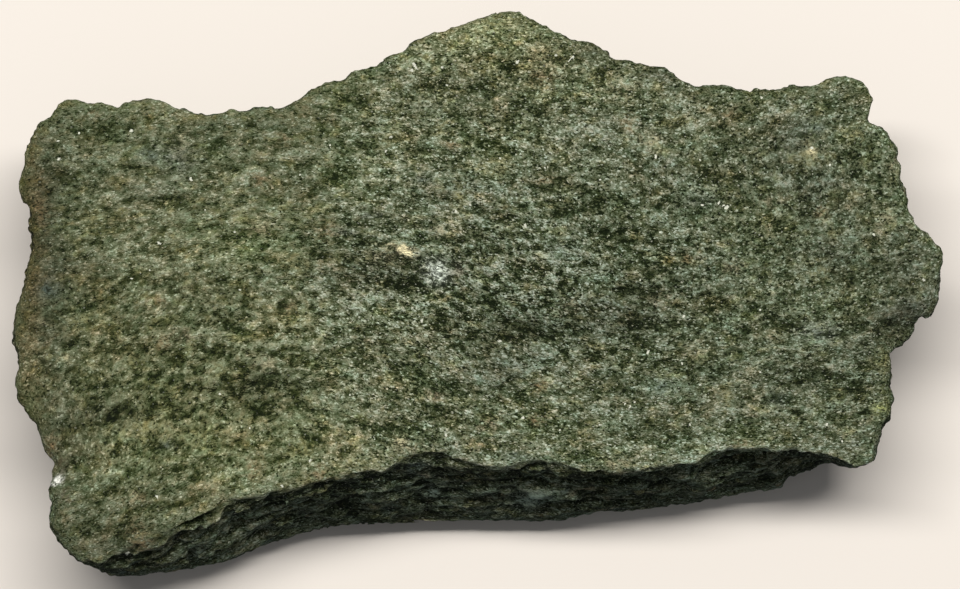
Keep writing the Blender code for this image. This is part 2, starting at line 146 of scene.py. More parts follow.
# Height of the widest level above the resting plane at some outline points, in millimetres.
WIDEST = [
    (20, 183, 16.0), (54, 113, 17.0), (184, 109, 16.6), (298, 101, 17.4), (434, 33.5, 16.8), (510, 11, 16.0),
    (612, 59.5, 16.6), (735, 90.5, 16.4), (871, 100, 15.2), (906, 199, 14.6), (940.5, 253, 14.2),
    (934, 303, 12.0), (911, 331, 11.0), (894, 350, 12.0), (893, 397, 12.0), (871, 455, 8.8),
    (850, 469, 6.4), (822, 468, 5.6), (803, 474, 5.0), (779, 488, 4.4), (700, 501, 3.8), (610, 512, 3.4),
    (530, 520, 3.3), (440, 521, 3.2), (350, 523, 3.4), (300, 531, 3.8), (240, 555, 4.4), (170, 571, 5.8),
    (130, 576, 7.2), (95, 567, 9.0), (60, 540, 11.5), (49, 515, 13.6), (56, 460, 15.4),
    (19, 400, 15.6),
    (13.5, 340, 16.0), (24, 290, 16.4),
]
# How far the back's rim stands in from the outline, at some outline points, in millimetres.
UNDERCUT = [
    (20, 183, 4.5), (184, 109, 5.5), (434, 33.5, 6.0), (510, 11, 7.0), (735, 90.5, 6.5), (871, 100, 7.0),
    (940.5, 253, 8.5), (911, 331, 6.5), (871, 455, 5.6), (822, 468, 4.8), (779, 488, 3.4), (700, 501, 2.6),
    (530, 520, 2.2), (350, 523, 2.4), (240, 555, 3.2), (130, 576, 4.5), (60, 540, 5.0), (56, 460, 4.6),
    (19, 400, 4.4), (24, 290, 4.0),
]
# How far the worn rim stands in from the outline, at some outline points, in millimetres.
RIM_IN = [
    (20, 183, 0.6), (54, 113, 0.35), (184, 109, 0.12), (298, 101, 0.10), (434, 33.5, 0.08), (510, 11, 0.08),
    (612, 59.5, 0.10), (735, 90.5, 0.12), (871, 100, 0.14), (906, 199, 0.10), (940.5, 253, 0.16), (893, 397, 0.14),
    (871, 455, 0.14), (95, 567, 0.20), (60, 540, 0.20), (56, 460, 0.4), (41, 433, 0.2), (19, 400, 0.2),
    (13.5, 340, 0.35), (24, 290, 0.35), (31, 222, 0.35),
]
BACK_PLANES = [
    (0.006, -0.004, 0.0),
    (0.090, -0.020, -0.1), (0.230, 0.080, -5.0),
    (0.020, 0.120, -0.1), (0.030, 0.360, -4.4),
    (-0.080, -0.020, -0.7), (-0.200, -0.040, -5.2),
    (-0.020, -0.110, -0.1),
    (0.320, -0.100, -13.4), (0.300, 0.270, -13.0), (-0.230, 0.220, -10.5), (-0.250, -0.200, -13.0),
]

# Dark hollows on the face: x, y, half length, half width, turn in degrees, depth in millimetres, darkness. The
# darkness is painted into the colour: partly a darker mineral, partly painted shade in the hollow.
HOLLOWS = [
    (116, 416, 22, 7, 18, 0.55, 0.9), (98, 409, 10, 4, 10, 0.30, 0.5), (229, 325, 14, 5, -5, 0.30, 0.6),
    (174, 353, 15, 5, 5, 0.25, 0.45), (141, 386, 14, 3, 12, 0.20, 0.4), (269, 407, 24, 5, 4, 0.30, 0.55),
    (245, 382, 30, 8, 4, 0.30, 0.5), (160, 202, 18, 6, 8, 0.28, 0.5), (183, 203, 12, 5, -8, 0.22, 0.4),
    (92, 243, 20, 5, 0, 0.20, 0.4), (143, 243, 12, 4, 0, 0.20, 0.4), (252, 124, 6, 5, 0, 0.35, 0.7),
    (172, 143, 13, 5, 0, 0.25, 0.45), (316, 253, 7, 7, 0, 0.35, 0.6), (508, 68, 8, 6, 0, 0.40, 0.8),
    (634, 109, 12, 2.6, 2, 0.40, 0.9), (436, 87, 17, 8, 5, 0.30, 0.5), (489, 142, 14, 5, -4, 0.25, 0.5),
    (517, 104, 9, 7, 20, 0.35, 0.6), (534, 93, 14, 4, -20, 0.25, 0.5), (601, 76, 6, 9, 0, 0.20, 0.4),
    (332, 178, 13, 9, 0, 0.35, 0.6), (371, 224, 24, 9, 3, 0.40, 0.7), (345, 236, 16, 6, 0, 0.30, 0.5),
    (408, 285, 34, 9, -6, 0.50, 0.8), (372, 270, 22, 6, -22, 0.35, 0.55), (520, 275, 15, 7, -8, 0.45, 0.8),
    (487, 300, 20, 6, -10, 0.30, 0.55), (514, 324, 22, 5, -12, 0.50, 0.85), (546, 333, 22, 5, -10, 0.50, 0.85),
    (574, 331, 13, 4, 0, 0.35, 0.6), (632, 324, 16, 8, -5, 0.40, 0.7), (604, 308, 18, 6, -8, 0.30, 0.5),
    (568, 290, 9, 6, 0, 0.35, 0.65), (461, 260, 7, 6, 0, 0.30, 0.6), (475, 258, 9, 5, 0, 0.30, 0.55),
    (617, 232, 24, 8, 12, 0.35, 0.6), (628, 214, 10, 5, 0, 0.25, 0.5), (500, 337, 28, 4, 0, 0.25, 0.45),
    (450, 345, 18, 4, 0, 0.20, 0.4), (646, 341, 10, 8, 0, 0.30, 0.5), (803, 180, 12, 10, 60, 0.30, 0.55),
    (814, 192, 14, 7, 30, 0.25, 0.45), (818, 373, 26, 6, -6, 0.35, 0.6), (801, 381, 20, 4, 8, 0.30, 0.5),
    (845, 391, 18, 8, 0, 0.25, 0.45), (846, 304, 14, 3, 4, 0.25, 0.55), (318, 438, 10, 6, 10, 0.30, 0.55),
    (452, 384, 10, 5, 20, 0.25, 0.5), (521, 392, 18, 5, 0, 0.25, 0.45), (545, 407, 9, 5, 10, 0.25, 0.5),
    (430, 408, 18, 7, 0, 0.20, 0.4), (180, 469, 14, 3, 2, 0.22, 0.5), (148, 478, 26, 3, 3, 0.20, 0.4),
    (76, 463, 3, 8, 25, 0.30, 0.6), (780, 399, 20, 7, 0, 0.20, 0.35), (690, 240, 16, 5, 0, 0.20, 0.35),
    (560, 215, 20, 5, 10, 0.20, 0.35), (846, 330, 20, 6, 6, 0.25, 0.5), (700, 170, 20, 5, -5, 0.18, 0.3),
    (740, 330, 20, 5, 5, 0.20, 0.35), (575, 455, 20, 4, 0, 0.15, 0.3), (660, 420, 18, 5, 8, 0.18, 0.3),
    (395, 120, 16, 5, 8, 0.20, 0.4), (455, 115, 14, 5, 0, 0.20, 0.4), (70, 345, 10, 8, 0, 0.20, 0.35),
    (60, 178, 18, 8, -20, 0.20, 0.4), (130, 168, 14, 5, 0, 0.15, 0.3), (515, 152, 30, 5, -8, 0.22, 0.4),
]
# Patches of other colour: x, y, half length, half width, turn, strength, kind.
PATCHES = [
    # cream and fibrous blue-white minerals
    (403, 249.5, 8.5, 3.4, -20, 3.4, "cream"), (389, 254, 15, 8, 12, 0.6, "buff"), (437, 272, 11, 10, -35, 1.5, "bluewhite"),
    (459, 269, 9, 8, 0, 0.6, "taupe"), (57.5, 480, 4.6, 2.4, 35, 3.0, "white"), (54, 484, 2.6, 1.6, 0, 2.6, "white"), (811, 151, 5, 5, 0, 0.8, "cream"), (808, 157, 10, 6, 0, 0.5, "yellow"),
    # rust, tan and pinkish buff
    (283, 140, 5, 5, 0, 0.9, "rust"), (237, 142, 5, 5, 0, 0.8, "buff"), (258, 179, 8, 5, 0, 0.7, "rust"),
    (41, 211, 6, 14, 10, 0.7, "rust"), (326, 231, 10, 10, 0, 0.5, "rust"), (288, 309, 9, 8, 0, 0.7, "rust"),
    (296, 318, 14, 10, 0, 0.6, "yellow"), (158, 301, 9, 4, 0, 0.6, "rust"), (82, 322, 14, 7, 20, 0.5, "yellow"),
    (44, 323, 5, 3, 0, 0.7, "buff"), (63, 359, 3.5, 2.5, 0, 0.9, "cream"), (135, 362, 7, 7, 0, 0.7, "yellow"),
    (222, 372, 7, 6, 0, 0.8, "yellow"), (267, 364, 7, 6, 0, 0.7, "buff"), (184, 336, 10, 5, 0, 0.6, "pink"),
    (163, 343, 7, 5, 0, 0.6, "rust"), (451, 145, 8, 4, 0, 0.7, "rust"), (541, 79, 10, 9, 0, 0.6, "rust"),
    (594, 79, 7, 7, 0, 0.7, "yellow"), (629, 124, 7, 8, 0, 0.6, "rust"), (547, 181, 10, 4, 0, 0.6, "rust"),
    (821, 213, 6, 6, 0, 0.6, "rust"), (730, 113, 8, 6, 0, 0.5, "rust"), (652, 140, 12, 9, 0, 0.5, "buff"),
    (679, 121, 9, 6, 0, 0.6, "yellow"), (889, 215, 6, 8, 0, 0.6, "buff"), (855, 135, 9, 9, 0, 0.6, "yellow"),
    (894, 165, 4, 9, 10, 0.7, "buff"), (881, 408, 9, 5, 0, 1.0, "epidote"), (883, 362, 5, 14, 0, 0.6, "yellow"),
    (732, 268, 12, 5, 0, 0.6, "buff"), (688, 259, 6, 5, 0, 0.6, "rust"), (820, 275, 9, 8, 0, 0.5, "yellow"),
    (728, 397, 4, 14, 0, 0.5, "yellow"), (433, 396, 9, 5, 0, 0.7, "pink"), (489, 424, 12, 6, 0, 0.7, "pink"),
    (537, 420, 9, 5, 0, 0.8, "rust"), (541, 386, 8, 6, 0, 0.7, "rust"), (253, 470, 8, 10, 0, 0.5, "rust"),
    (300, 451, 12, 7, 0, 0.6, "yellow"), (320, 474, 9, 8, 0, 0.6, "rust"), (618, 462, 12, 5, 0, 0.7, "buff"),
    (740, 443, 12, 4, 0, 0.6, "rust"), (136, 529, 10, 7, 0, 0.5, "rust"), (141, 544, 9, 6, 0, 0.6, "rust"),
    (140, 499, 9, 5, 0, 0.6, "rust"), (51, 447, 5, 10, -15, 0.8, "rust"), (63, 466, 6, 8, 0, 0.6, "brown"),
    (66, 495, 8, 8, 0, 0.6, "brown"), (393, 138, 12, 9, 0, 0.6, "yellow"), (440, 130, 8, 7, 0, 0.5, "yellow"),
    (494, 24, 22, 10, 0, 0.55, "yellow"), (494, 167, 18, 7, 0, 0.5, "yellow"), (461, 200, 7, 18, 0, 0.5, "yellow"),
    (440, 231, 9, 6, 0, 0.6, "buff"), (95, 221, 12, 8, 0, 0.5, "yellow"), (182, 138, 10, 6, 0, 0.5, "buff"),
    (294, 264, 14, 8, 0, 0.55, "yellow"), (258, 227, 12, 8, 0, 0.5, "buff"), (93, 113, 6, 4, 0, 0.5, "rust"),
    (147, 427, 16, 8, 0, 0.4, "yellow"), (204, 437, 24, 10, 0, 0.4, "yellow"), (134, 495, 3, 3, 0, 0.9, "cream"),
    (571, 305, 9, 6, 0, 0.6, "buff"), (401, 440, 5, 4, 0, 0.8, "cream"), (410, 448, 16, 5, 0, 0.5, "buff"),
    (360, 462, 18, 6, 0, 0.5, "yellow"), (620, 88, 18, 9, 0, 0.4, "buff"), (545, 60, 16, 9, 0, 0.4, "buff"),
    (660, 300, 14, 9, 0, 0.35, "pink"), (700, 350, 14, 7, 0, 0.35, "buff"), (770, 200, 14, 7, 0, 0.3, "pink"),
    # blue-green and teal
    (150, 155, 13, 8, 0, 0.5, "teal"), (49, 289, 12, 9, 0, 0.6, "teal"), (424, 180, 10, 6, 0, 0.5, "teal"),
    (167, 445, 8, 6, 0, 0.5, "teal"), (516, 456, 12, 5, 0, 0.6, "teal"), (416, 467, 11, 7, 0, 0.9, "tealpale"),
    (432, 491, 12, 6, 0, 0.7, "tealpale"), (532, 500, 24, 8, 0, 0.6, "tealpale"), (814, 127, 10, 7, 0, 0.5, "teal"),
    (818, 332, 18, 9, 0, 0.5, "bluepale"), (662, 387, 11, 8, 0, 0.6, "teal"), (777, 399, 9, 8, 0, 0.5, "teal"),
    (178, 160, 18, 14, 0, 0.4, "bluepale"), (560, 250, 26, 12, 0, 0.25, "teal"), (370, 215, 12, 5, 0, 0.4, "bluepale"),
    (345, 232, 10, 4, 0, 0.5, "bluepale"), (700, 200, 20, 8, 0, 0.3, "bluepale"),
]
# Small white grains: x, y, half size.
GRAINS = [
    (79, 133, 1.6), (131.6, 130.6, 2.0), (58.8, 159, 2.2), (57.7, 141, 1.6), (190.8, 179, 2.2), (159, 243, 2.0),
    (234.7, 232, 1.5), (517, 62, 2.2), (555.7, 55, 1.7), (573, 57, 1.4), (413.9, 64.3, 2.2), (411.8, 70.4, 2.2),
    (442.4, 67, 2.2), (386, 151, 1.8), (726.7, 207.3, 2.6), (703, 205, 1.9), (718.6, 203, 1.6), (656, 156, 2.2),
    (873.7, 234.5, 1.8), (750, 129, 1.6), (761.4, 97.8, 1.6), (923.7, 279.8, 2.2), (683.9, 316.5, 1.7),
    (648, 352, 2.2), (682, 363.5, 1.5), (131.6, 278.6, 1.6), (525, 225.7, 2.4), (455.7, 211.4, 2.0),
    (499.6, 341, 2.2), (422, 320.6, 2.2), (523, 417.8, 2.0), (157, 496.7, 2.2), (127.5, 553.5, 2.4),
    (220, 394, 1.7), (282, 486, 1.8), (812, 148, 2.2), (635, 402, 1.5), (600, 425, 1.4), (625, 404, 1.4),
    (310, 461, 1.8), (446, 435, 1.6), (250, 428, 1.4), (386, 55, 1.2), (391, 137, 2.0), (447, 85, 1.3),
    (545, 168, 1.3), (500, 158, 1.3), (700, 160, 1.2), (740, 172, 1.2), (590, 140, 1.3),
    (830, 165, 1.4), (600, 180, 1.3), (560, 200, 1.2), (660, 232, 1.3), (760, 310, 1.4), (720, 338, 1.3),
    (640, 280, 1.2), (470, 205, 1.4), (360, 160, 1.3), (330, 145, 1.2), (300, 175, 1.3), (205, 210, 1.2),
    (150, 270, 1.2), (240, 290, 1.3), (350, 395, 1.3), (470, 395, 1.2), (560, 430, 1.3), (690, 425, 1.3),
    (730, 420, 1.2), (788, 425, 1.2), (827, 424, 1.5), (842, 441, 1.2), (700, 385, 1.3), (760, 372, 1.2),
]
COLOURS = {
    "cream": (0.76, 0.68, 0.41), "buff": (0.34, 0.31, 0.19), "bluewhite": (0.58, 0.64, 0.54),
    "taupe": (0.20, 0.18, 0.13), "white": (0.78, 0.78, 0.70), "yellow": (0.20, 0.195, 0.080), "rust": (0.205, 0.145, 0.072),
    "pink": (0.25, 0.20, 0.130), "epidote": (0.30, 0.33, 0.13), "brown": (0.060, 0.045, 0.028),
    "teal": (0.068, 0.100, 0.085), "tealpale": (0.15, 0.20, 0.165), "bluepale": (0.17, 0.20, 0.17),
}


# ---------------------------------------------------------------- smooth seeded noise
def corner(ix, iy, iz, seed):
    h = (ix * 374761393 + iy * 668265263 + iz * 1440662683 + seed * 1274126177) & 0xFFFFFFFF
    h = ((h ^ (h >> 13)) * 1274126177) & 0xFFFFFFFF
    h = ((h ^ (h >> 16)) * 2246822519) & 0xFFFFFFFF
    return ((h ^ (h >> 13)) & 0xFFFFFF) / 0xFFFFFF


def noise(x, y, z, seed):
    """Gradient noise, about -1 to 1, at points given in cells: the same as the solid's own."""
    x, y, z = np.broadcast_arrays(np.asarray(x, float), np.asarray(y, float), np.asarray(z, float))
    fx, fy, fz = np.floor(x), np.floor(y), np.floor(z)
    ix, iy, iz = (f.astype(np.int64) for f in (fx, fy, fz))
    u, v, w = x - fx, y - fy, z - fz
    su, sv, sw = (t * t * t * (t * (t * 6 - 15) + 10) for t in (u, v, w))
    total = np.zeros(x.shape)
    for a in (0, 1):
        for b in (0, 1):
            for c in (0, 1):
                turn = corner(ix + a, iy + b, iz + c, seed) * 2 * math.pi
                rise = corner(ix + a, iy + b, iz + c, seed + 77) * 2 - 1
                flat = np.sqrt(1 - rise * rise)
                slope = flat * np.cos(turn) * (u - a) + flat * np.sin(turn) * (v - b) + rise * (w - c)
                weight = (su if a else 1 - su) * (sv if b else 1 - sv) * (sw if c else 1 - sw)
                total += weight * slope
    return total * 1.5


def fractal(x, y, z, seed, octaves):
    total, gain = 0.0, 1.0
    for i in range(octaves):
        total = total + gain * noise(x * 2**i, y * 2**i, z * 2**i, seed + 13 * i)
        gain *= 0.5
    return total


_dice = np.random.default_rng(SEED)
SHUFFLE = _dice.permutation(4096).astype(np.int32)
_arrow = _dice.normal(size=(4096, 3))
ARROWS = (_arrow / np.linalg.norm(_arrow, axis=1)[:, None]).astype(np.float32)


def ripple(x, y, z, seed):
    """A quicker gradient noise for the fine relief, about -1 to 1."""
    x, y, z = np.broadcast_arrays(np.asarray(x, np.float32), np.asarray(y, np.float32), np.asarray(z, np.float32))
    fx, fy, fz = np.floor(x), np.floor(y), np.floor(z)
    ix, iy, iz = (f.astype(np.int32) for f in (fx, fy, fz))
    u, v, w = x - fx, y - fy, z - fz
    su, sv, sw = (t * t * t * (t * (t * 6 - 15) + 10) for t in (u, v, w))
    total = np.zeros(x.shape, np.float32)
    for a in (0, 1):
        first = SHUFFLE[(ix + a + seed * 131) & 4095]
        for b in (0, 1):
            second = SHUFFLE[(first + iy + b) & 4095]
            for c in (0, 1):
                arrow = ARROWS[SHUFFLE[(second + iz + c) & 4095]]
                slope = arrow[..., 0] * (u - a) + arrow[..., 1] * (v - b) + arrow[..., 2] * (w - c)
                total += (su if a else 1 - su) * (sv if b else 1 - sv) * (sw if c else 1 - sw) * slope
    return total * 1.6


def ripples(x, y, z, seed, octaves, gain=0.5):
    total, size = 0.0, 1.0
    for i in range(octaves):
        total = total + size * ripple(x * 2**i, y * 2**i, z * 2**i, seed + 7 * i)
        size *= gain
    return total


DOTS = _dice.random((4096, 3)).astype(np.float32)
STEPS = (_dice.random(4096) * 2 - 1).astype(np.float32)


def blocks(x, y, z, seed, tilt=0.8):
    """Broken blocks: the nearest scattered centre gives each point a level and a tilted plane, about -1 to 1."""
    x, y, z = np.broadcast_arrays(np.asarray(x, np.float32), np.asarray(y, np.float32), np.asarray(z, np.float32))
    fx, fy, fz = np.floor(x), np.floor(y), np.floor(z)
    ix, iy, iz = (f.astype(np.int32) for f in (fx, fy, fz))
    u, v, w = x - fx, y - fy, z - fz
    best = np.full(x.shape, 9.0, np.float32)
    value = np.zeros(x.shape, np.float32)
    for a in (-1, 0, 1):
        first = SHUFFLE[(ix + a + seed * 131) & 4095]
        for b in (-1, 0, 1):
            second = SHUFFLE[(first + iy + b) & 4095]
            for c in (-1, 0, 1):
                third = SHUFFLE[(second + iz + c) & 4095]
                spot = DOTS[third]
                dx, dy, dz = a + spot[..., 0] - u, b + spot[..., 1] - v, c + spot[..., 2] - w
                gap = dx * dx + dy * dy + dz * dz
                arrow = ARROWS[third]
                plane = STEPS[third] + tilt * (arrow[..., 0] * dx + arrow[..., 1] * dy + arrow[..., 2] * dz)
                closer = gap < best
                best[closer] = gap[closer]
                value[closer] = plane[closer]
    return value


def eased(t, low=0.0, high=1.0):
    t = np.clip((t - low) / (high - low), 0, 1)
    return t * t * (3 - 2 * t)


# ---------------------------------------------------------------- levels and lines
def face_level(x, y):
    dome = np.exp(-(((x + 8) / 46) ** 2) - ((y - 1) / 26) ** 2)
    corner_fall = np.exp(-(((x + 52) / 13) ** 2) - ((y + 36) / 11) ** 2)
    return (
        FACE_MM
        + 1.5 * dome
        - 0.010 * x
        - 1.7 * corner_fall
        + 0.55 * noise(x / 27, y / 21, 0.3, SEED)
        + 0.22 * fractal(x / 9.5, y / 6.5, 0.7, SEED + 1, 2)
    )


def back_level(x, y):
    level = np.max([a * x + b * y + c for a, b, c in BACK_PLANES], axis=0)
    return level - REST_DEPTH_MM + 0.35 * noise(x / 15, y / 12, 5.3, SEED + 2)


def along(points):
    step = np.linalg.norm(np.roll(points, -1, 0) - points, axis=1)
    return np.concatenate([[0], np.cumsum(step)])


def resampled(line, count):
    line = np.asarray(line, float)
    run = np.concatenate([[0], np.cumsum(np.linalg.norm(np.diff(line, axis=0), axis=1))])
    t = np.linspace(0, run[-1], count, endpoint=False)
    return np.stack([np.interp(t, run, line[:, k]) for k in range(line.shape[1])], 1)


def smoothed(values, passes):
    for _ in range(int(round(passes))):
        values = (np.roll(values, 1, 0) + 2 * values + np.roll(values, -1, 0)) / 4
    return values


def inward_of(points, passes):
    tangent = smoothed(np.roll(points, -1, 0) - np.roll(points, 1, 0), passes)
    tangent /= np.linalg.norm(tangent, axis=1)[:, None]
    return np.stack([tangent[:, 1], -tangent[:, 0]], 1)


def shrunk(ring, depth, steps):
    for _ in range(steps):
        ring = smoothed(
            ring + (np.ones(len(ring)) * depth / steps)[:, None] * inward_of(ring, 12 * EASE), 6 * EASE
        )
    return ring


def spread_along(outline, table, passes=6):
    run = along(outline)
    at, value = [], []
    for x, y, v in table:
        at.append(run[np.argmin(np.hypot(outline[:, 0] - x, outline[:, 1] - y))])
        value.append(v)
    order = np.argsort(at)
    filled = np.interp(run[:-1], np.array(at)[order], np.array(value)[order], period=run[-1])
    return smoothed(filled, passes * EASE)


def plan(points):
    """Plan units to millimetres from the plan axis, at the face level."""
    points = np.asarray(points, float)
    return np.stack([points[..., 0] - PLAN_AXIS[0], PLAN_AXIS[1] - points[..., 1]], -1) * UNIT_MM


def seen(points):
    """Plan units under which a point in millimetres is seen from the eye: x, y arrays."""
    spread = 1 - (FACE_MM - points[:, 2]) / (EYE_MM + FACE_MM - points[:, 2])
    return PLAN_AXIS[0] + points[:, 0] * spread / UNIT_MM, PLAN_AXIS[1] - points[:, 1] * spread / UNIT_MM


# ---------------------------------------------------------------- the stone's rings
def rings():
    """Closed rings from the face, over the rim and down the flank, to the back, in millimetres."""
    def length(line):
        return float(np.sum(np.linalg.norm(np.diff(np.asarray(line, float), axis=0), axis=1))) * UNIT_MM

    sides = TOP + RIGHT
    n_a = round(length(sides + LOWER[:1]) / STATION_MM)
    n_b = round(length(LOWER + LEFT[:1]) / STATION_MM)
    n_c = round(length(LEFT + sides[:1]) / STATION_MM)
    wide = np.concatenate(
        [resampled(sides + LOWER[:1], n_a), resampled(LOWER + LEFT[:1], n_b), resampled(LEFT + sides[:1], n_c)]
    )
    lower = slice(n_a, n_a + n_b)

    level = spread_along(wide, WIDEST)
    undercut = spread_along(wide, UNDERCUT)
    rim_in = spread_along(wide, RIM_IN)
    outline = plan(wide)
    s = along(outline)[:-1]
    apart = np.ones(len(wide))
    apart[lower] = 0
    nicks = 0.11 * ripple(s / 1.15, 0.0, 17.0, 48) + 0.09 * ripple(s / 0.6, 0.0, 19.0, 49)
    outline = outline + (nicks * smoothed(apart, 10 * EASE))[:, None] * inward_of(outline, 6 * EASE)
    rim_in = rim_in * (1 + 0.7 * ripple(s / 1.7, 0.0, 0.0, 41) + 0.5 * ripple(s / 0.7, 0.0, 3.0, 42))
    rim = outline + rim_in[:, None] * inward_of(outline, 6 * EASE)
    xs = np.array([p[0] for p in LOWER_RIM])[::-1]
    ys = np.array([p[1] for p in LOWER_RIM], float)[::-1]
    bx = wide[lower, 0]
    rim[lower] = plan(np.stack([np.clip(bx, xs[0], xs[-1]), np.interp(bx, xs, ys)], 1))
    run = along(wide)[:n_a]
    at = [run[np.argmin(np.hypot(wide[:n_a, 0] - g[0], wide[:n_a, 1] - g[1]))] for g in FALLEN]
    first, last = at[0] - 12, at[-1] + 12
    inside = (run > first) & (run < last)
    target = plan([g[2:] for g in FALLEN])
    for k in (0, 1):
        ends = [rim[np.argmin(np.abs(run - first)), k], rim[np.argmin(np.abs(run - last)), k]]
        rim[:n_a, k][inside] = np.interp(run[inside], [first, *at, last], [ends[0], *target[:, k], ends[1]])
    rim = smoothed(rim, 1.5)

    is_lower = np.zeros(len(wide))
    is_lower[lower] = 1
    is_lower = smoothed(is_lower, 10 * EASE)
    # The broken edge is ragged at the size of the grains and chips.
    chip = 0.34 * ripple(s / 2.4, 0.0, 11.0, 45) + 0.22 * ripple(s / 1.1, 0.0, 13.0, 46) + 0.12 * ripple(s / 0.55, 0.0, 15.0, 47)
    rim = rim + (chip * is_lower * eased(np.linalg.norm(rim - outline, axis=1), 1.2, 3.0))[:, None] * inward_of(outline, 20 * EASE)

    def at_level(points, height):
        return points * (1 + (FACE_MM - height) / EYE_MM)[:, None]

    worn = 0.26 + 0.22 * ripple(s / 2.1, 0.0, 5.0, 43) + 0.15 * ripple(s / 0.9, 0.0, 7.0, 44)
    z_rim = face_level(rim[:, 0], rim[:, 1]) - (worn * (1 - is_lower) + 0.08 * is_lower)
    level = np.minimum(level, z_rim - 0.7)
    out = at_level(outline, level)
    rim = at_level(rim, z_rim)
    inner = shrunk(smoothed(rim, 2 * EASE), 0.9 * (1 - is_lower) + 0.40 * is_lower, 8)
    z_inner = face_level(inner[:, 0], inner[:, 1])

    made = [(inner, z_inner), (rim, z_rim)]
    # The flank soon forgets the rim's scallops and falls steeply at first.
    deep = np.clip((z_rim - level - 3) / 6, 0, 1) * is_lower
    plain = smoothed(rim, 60 * EASE)
    inn = inward_of(out, 12 * EASE)
    stand_back = 0.24 * (1 - is_lower)
    # The lower left corner rounds off instead.
    corner_slope = np.exp(-(((wide[:, 0] - 140) / 62) ** 2)) * is_lower
    for t, forget in ((0.08, 0.35), (0.2, 0.8), (0.4, 1.0), (0.6, 1.0), (0.8, 1.0)):
        lean = (1 - corner_slope) * t ** (1 + 0.15 * deep) + corner_slope * (1 - (1 - t) ** 1.55)
        lean = is_lower * lean + (1 - is_lower) * eased(t, -0.10, 0.20)
        top_line = rim + (plain - rim) * (forget * deep)[:, None]
        ring = top_line + (out - top_line) * lean[:, None]
        made.append((ring + (stand_back * eased(t, 0.15, 0.7))[:, None] * inn, z_rim + (level - z_rim) * t))
    out = out + stand_back[:, None] * inn
    made.append((out, level))
    back = shrunk(smoothed(out, 20 * EASE), undercut, 40)
    z_back = back_level(back[:, 0], back[:, 1])
    z_back = np.minimum(smoothed(z_back, 8 * EASE), level - 1.2)
    for t, lean in ((0.45, 0.30), (0.85, 0.72)):
        made.append((out + (back - out) * lean, level + (z_back + 0.8 - level) * t))
    made.append((back, z_back + 0.25))
    last = shrunk(back, 2.2, 40)
    made.append((last, np.minimum(back_level(last[:, 0], last[:, 1]), z_back)))
    return made, out, level


def enclosed(ring, points):
    x, y = points.T
    inside = np.zeros(len(points), bool)
    for i in range(len(ring)):
        (x0, y0), (x1, y1) = ring[i - 1], ring[i]
        if y0 != y1:
            inside ^= ((y0 > y) != (y1 > y)) & (x < (x1 - x0) * (y - y0) / (y1 - y0) + x0)
    return inside


def capped(ring, level_of, spacing):
    low, high = ring.min(0), ring.max(0)
    gx, gy = np.meshgrid(np.arange(low[0], high[0], spacing), np.arange(low[1], high[1], spacing))
    grid = np.stack([gx.ravel(), gy.ravel()], 1)
    grid[:, 0] += np.where((np.round((grid[:, 1] - low[1]) / spacing).astype(int) % 2) == 1, spacing / 2, 0)
    grid = grid[enclosed(ring, grid)]
    nearest = np.min(np.hypot(grid[:, None, 0] - ring[None, :, 0], grid[:, None, 1] - ring[None, :, 1]), 1)
    grid = grid[nearest > 0.75 * spacing]
    points = [tuple(p) for p in ring] + [tuple(p) for p in grid]
    border = [(i, (i + 1) % len(ring)) for i in range(len(ring))]
    flat, _, faces, *_ = geometry.delaunay_2d_cdt(points, border, [], 1, 1e-5, False)
    flat = np.array([tuple(p) for p in flat])
    faces = np.array([tuple(f) for f in faces])
    faces = faces[enclosed(ring, flat[faces].mean(1))]
    return flat, faces, level_of(flat[:, 0], flat[:, 1])


def skin(made):
    """The closed skin through all the rings, as a mesh in metres."""
    count = len(made[0][0])
    verts, faces = [], []
    for points, level in made:
        verts.append(np.column_stack([points, level]))
    for k in range(len(made) - 1):
        a, b = k * count, (k + 1) * count
        for i in range(count):
            j = (i + 1) % count
            faces.append((a + i, a + j, b + j, b + i))
    total = len(made) * count
    for row, level_of, spacing in ((0, face_level, 1.4), (len(made) - 1, back_level, 2.0)):
        ring = made[row][0]
        flat, filled, level = capped(ring, level_of, spacing)
        index = np.empty(len(flat), int)
        extra = []
        for k, p in enumerate(flat):
            gap = np.hypot(ring[:, 0] - p[0], ring[:, 1] - p[1])
            near = int(np.argmin(gap))
            if gap[near] < 1e-4:
                index[k] = row * count + near
            else:
                index[k] = total + len(extra)
                extra.append((p[0], p[1], level[k]))
        total += len(extra)
        verts.append(np.array(extra))
        faces += [tuple(int(index[k]) for k in face) for face in filled]
    mesh = bpy.data.meshes.new("greenstone_skin")
    mesh.from_pydata((np.concatenate(verts) / 1000).tolist(), [], faces)
    bm = bmesh.new()
    bm.from_mesh(mesh)
    bmesh.ops.recalc_face_normals(bm, faces=bm.faces)
    bm.to_mesh(mesh)
    bm.free()
    return mesh


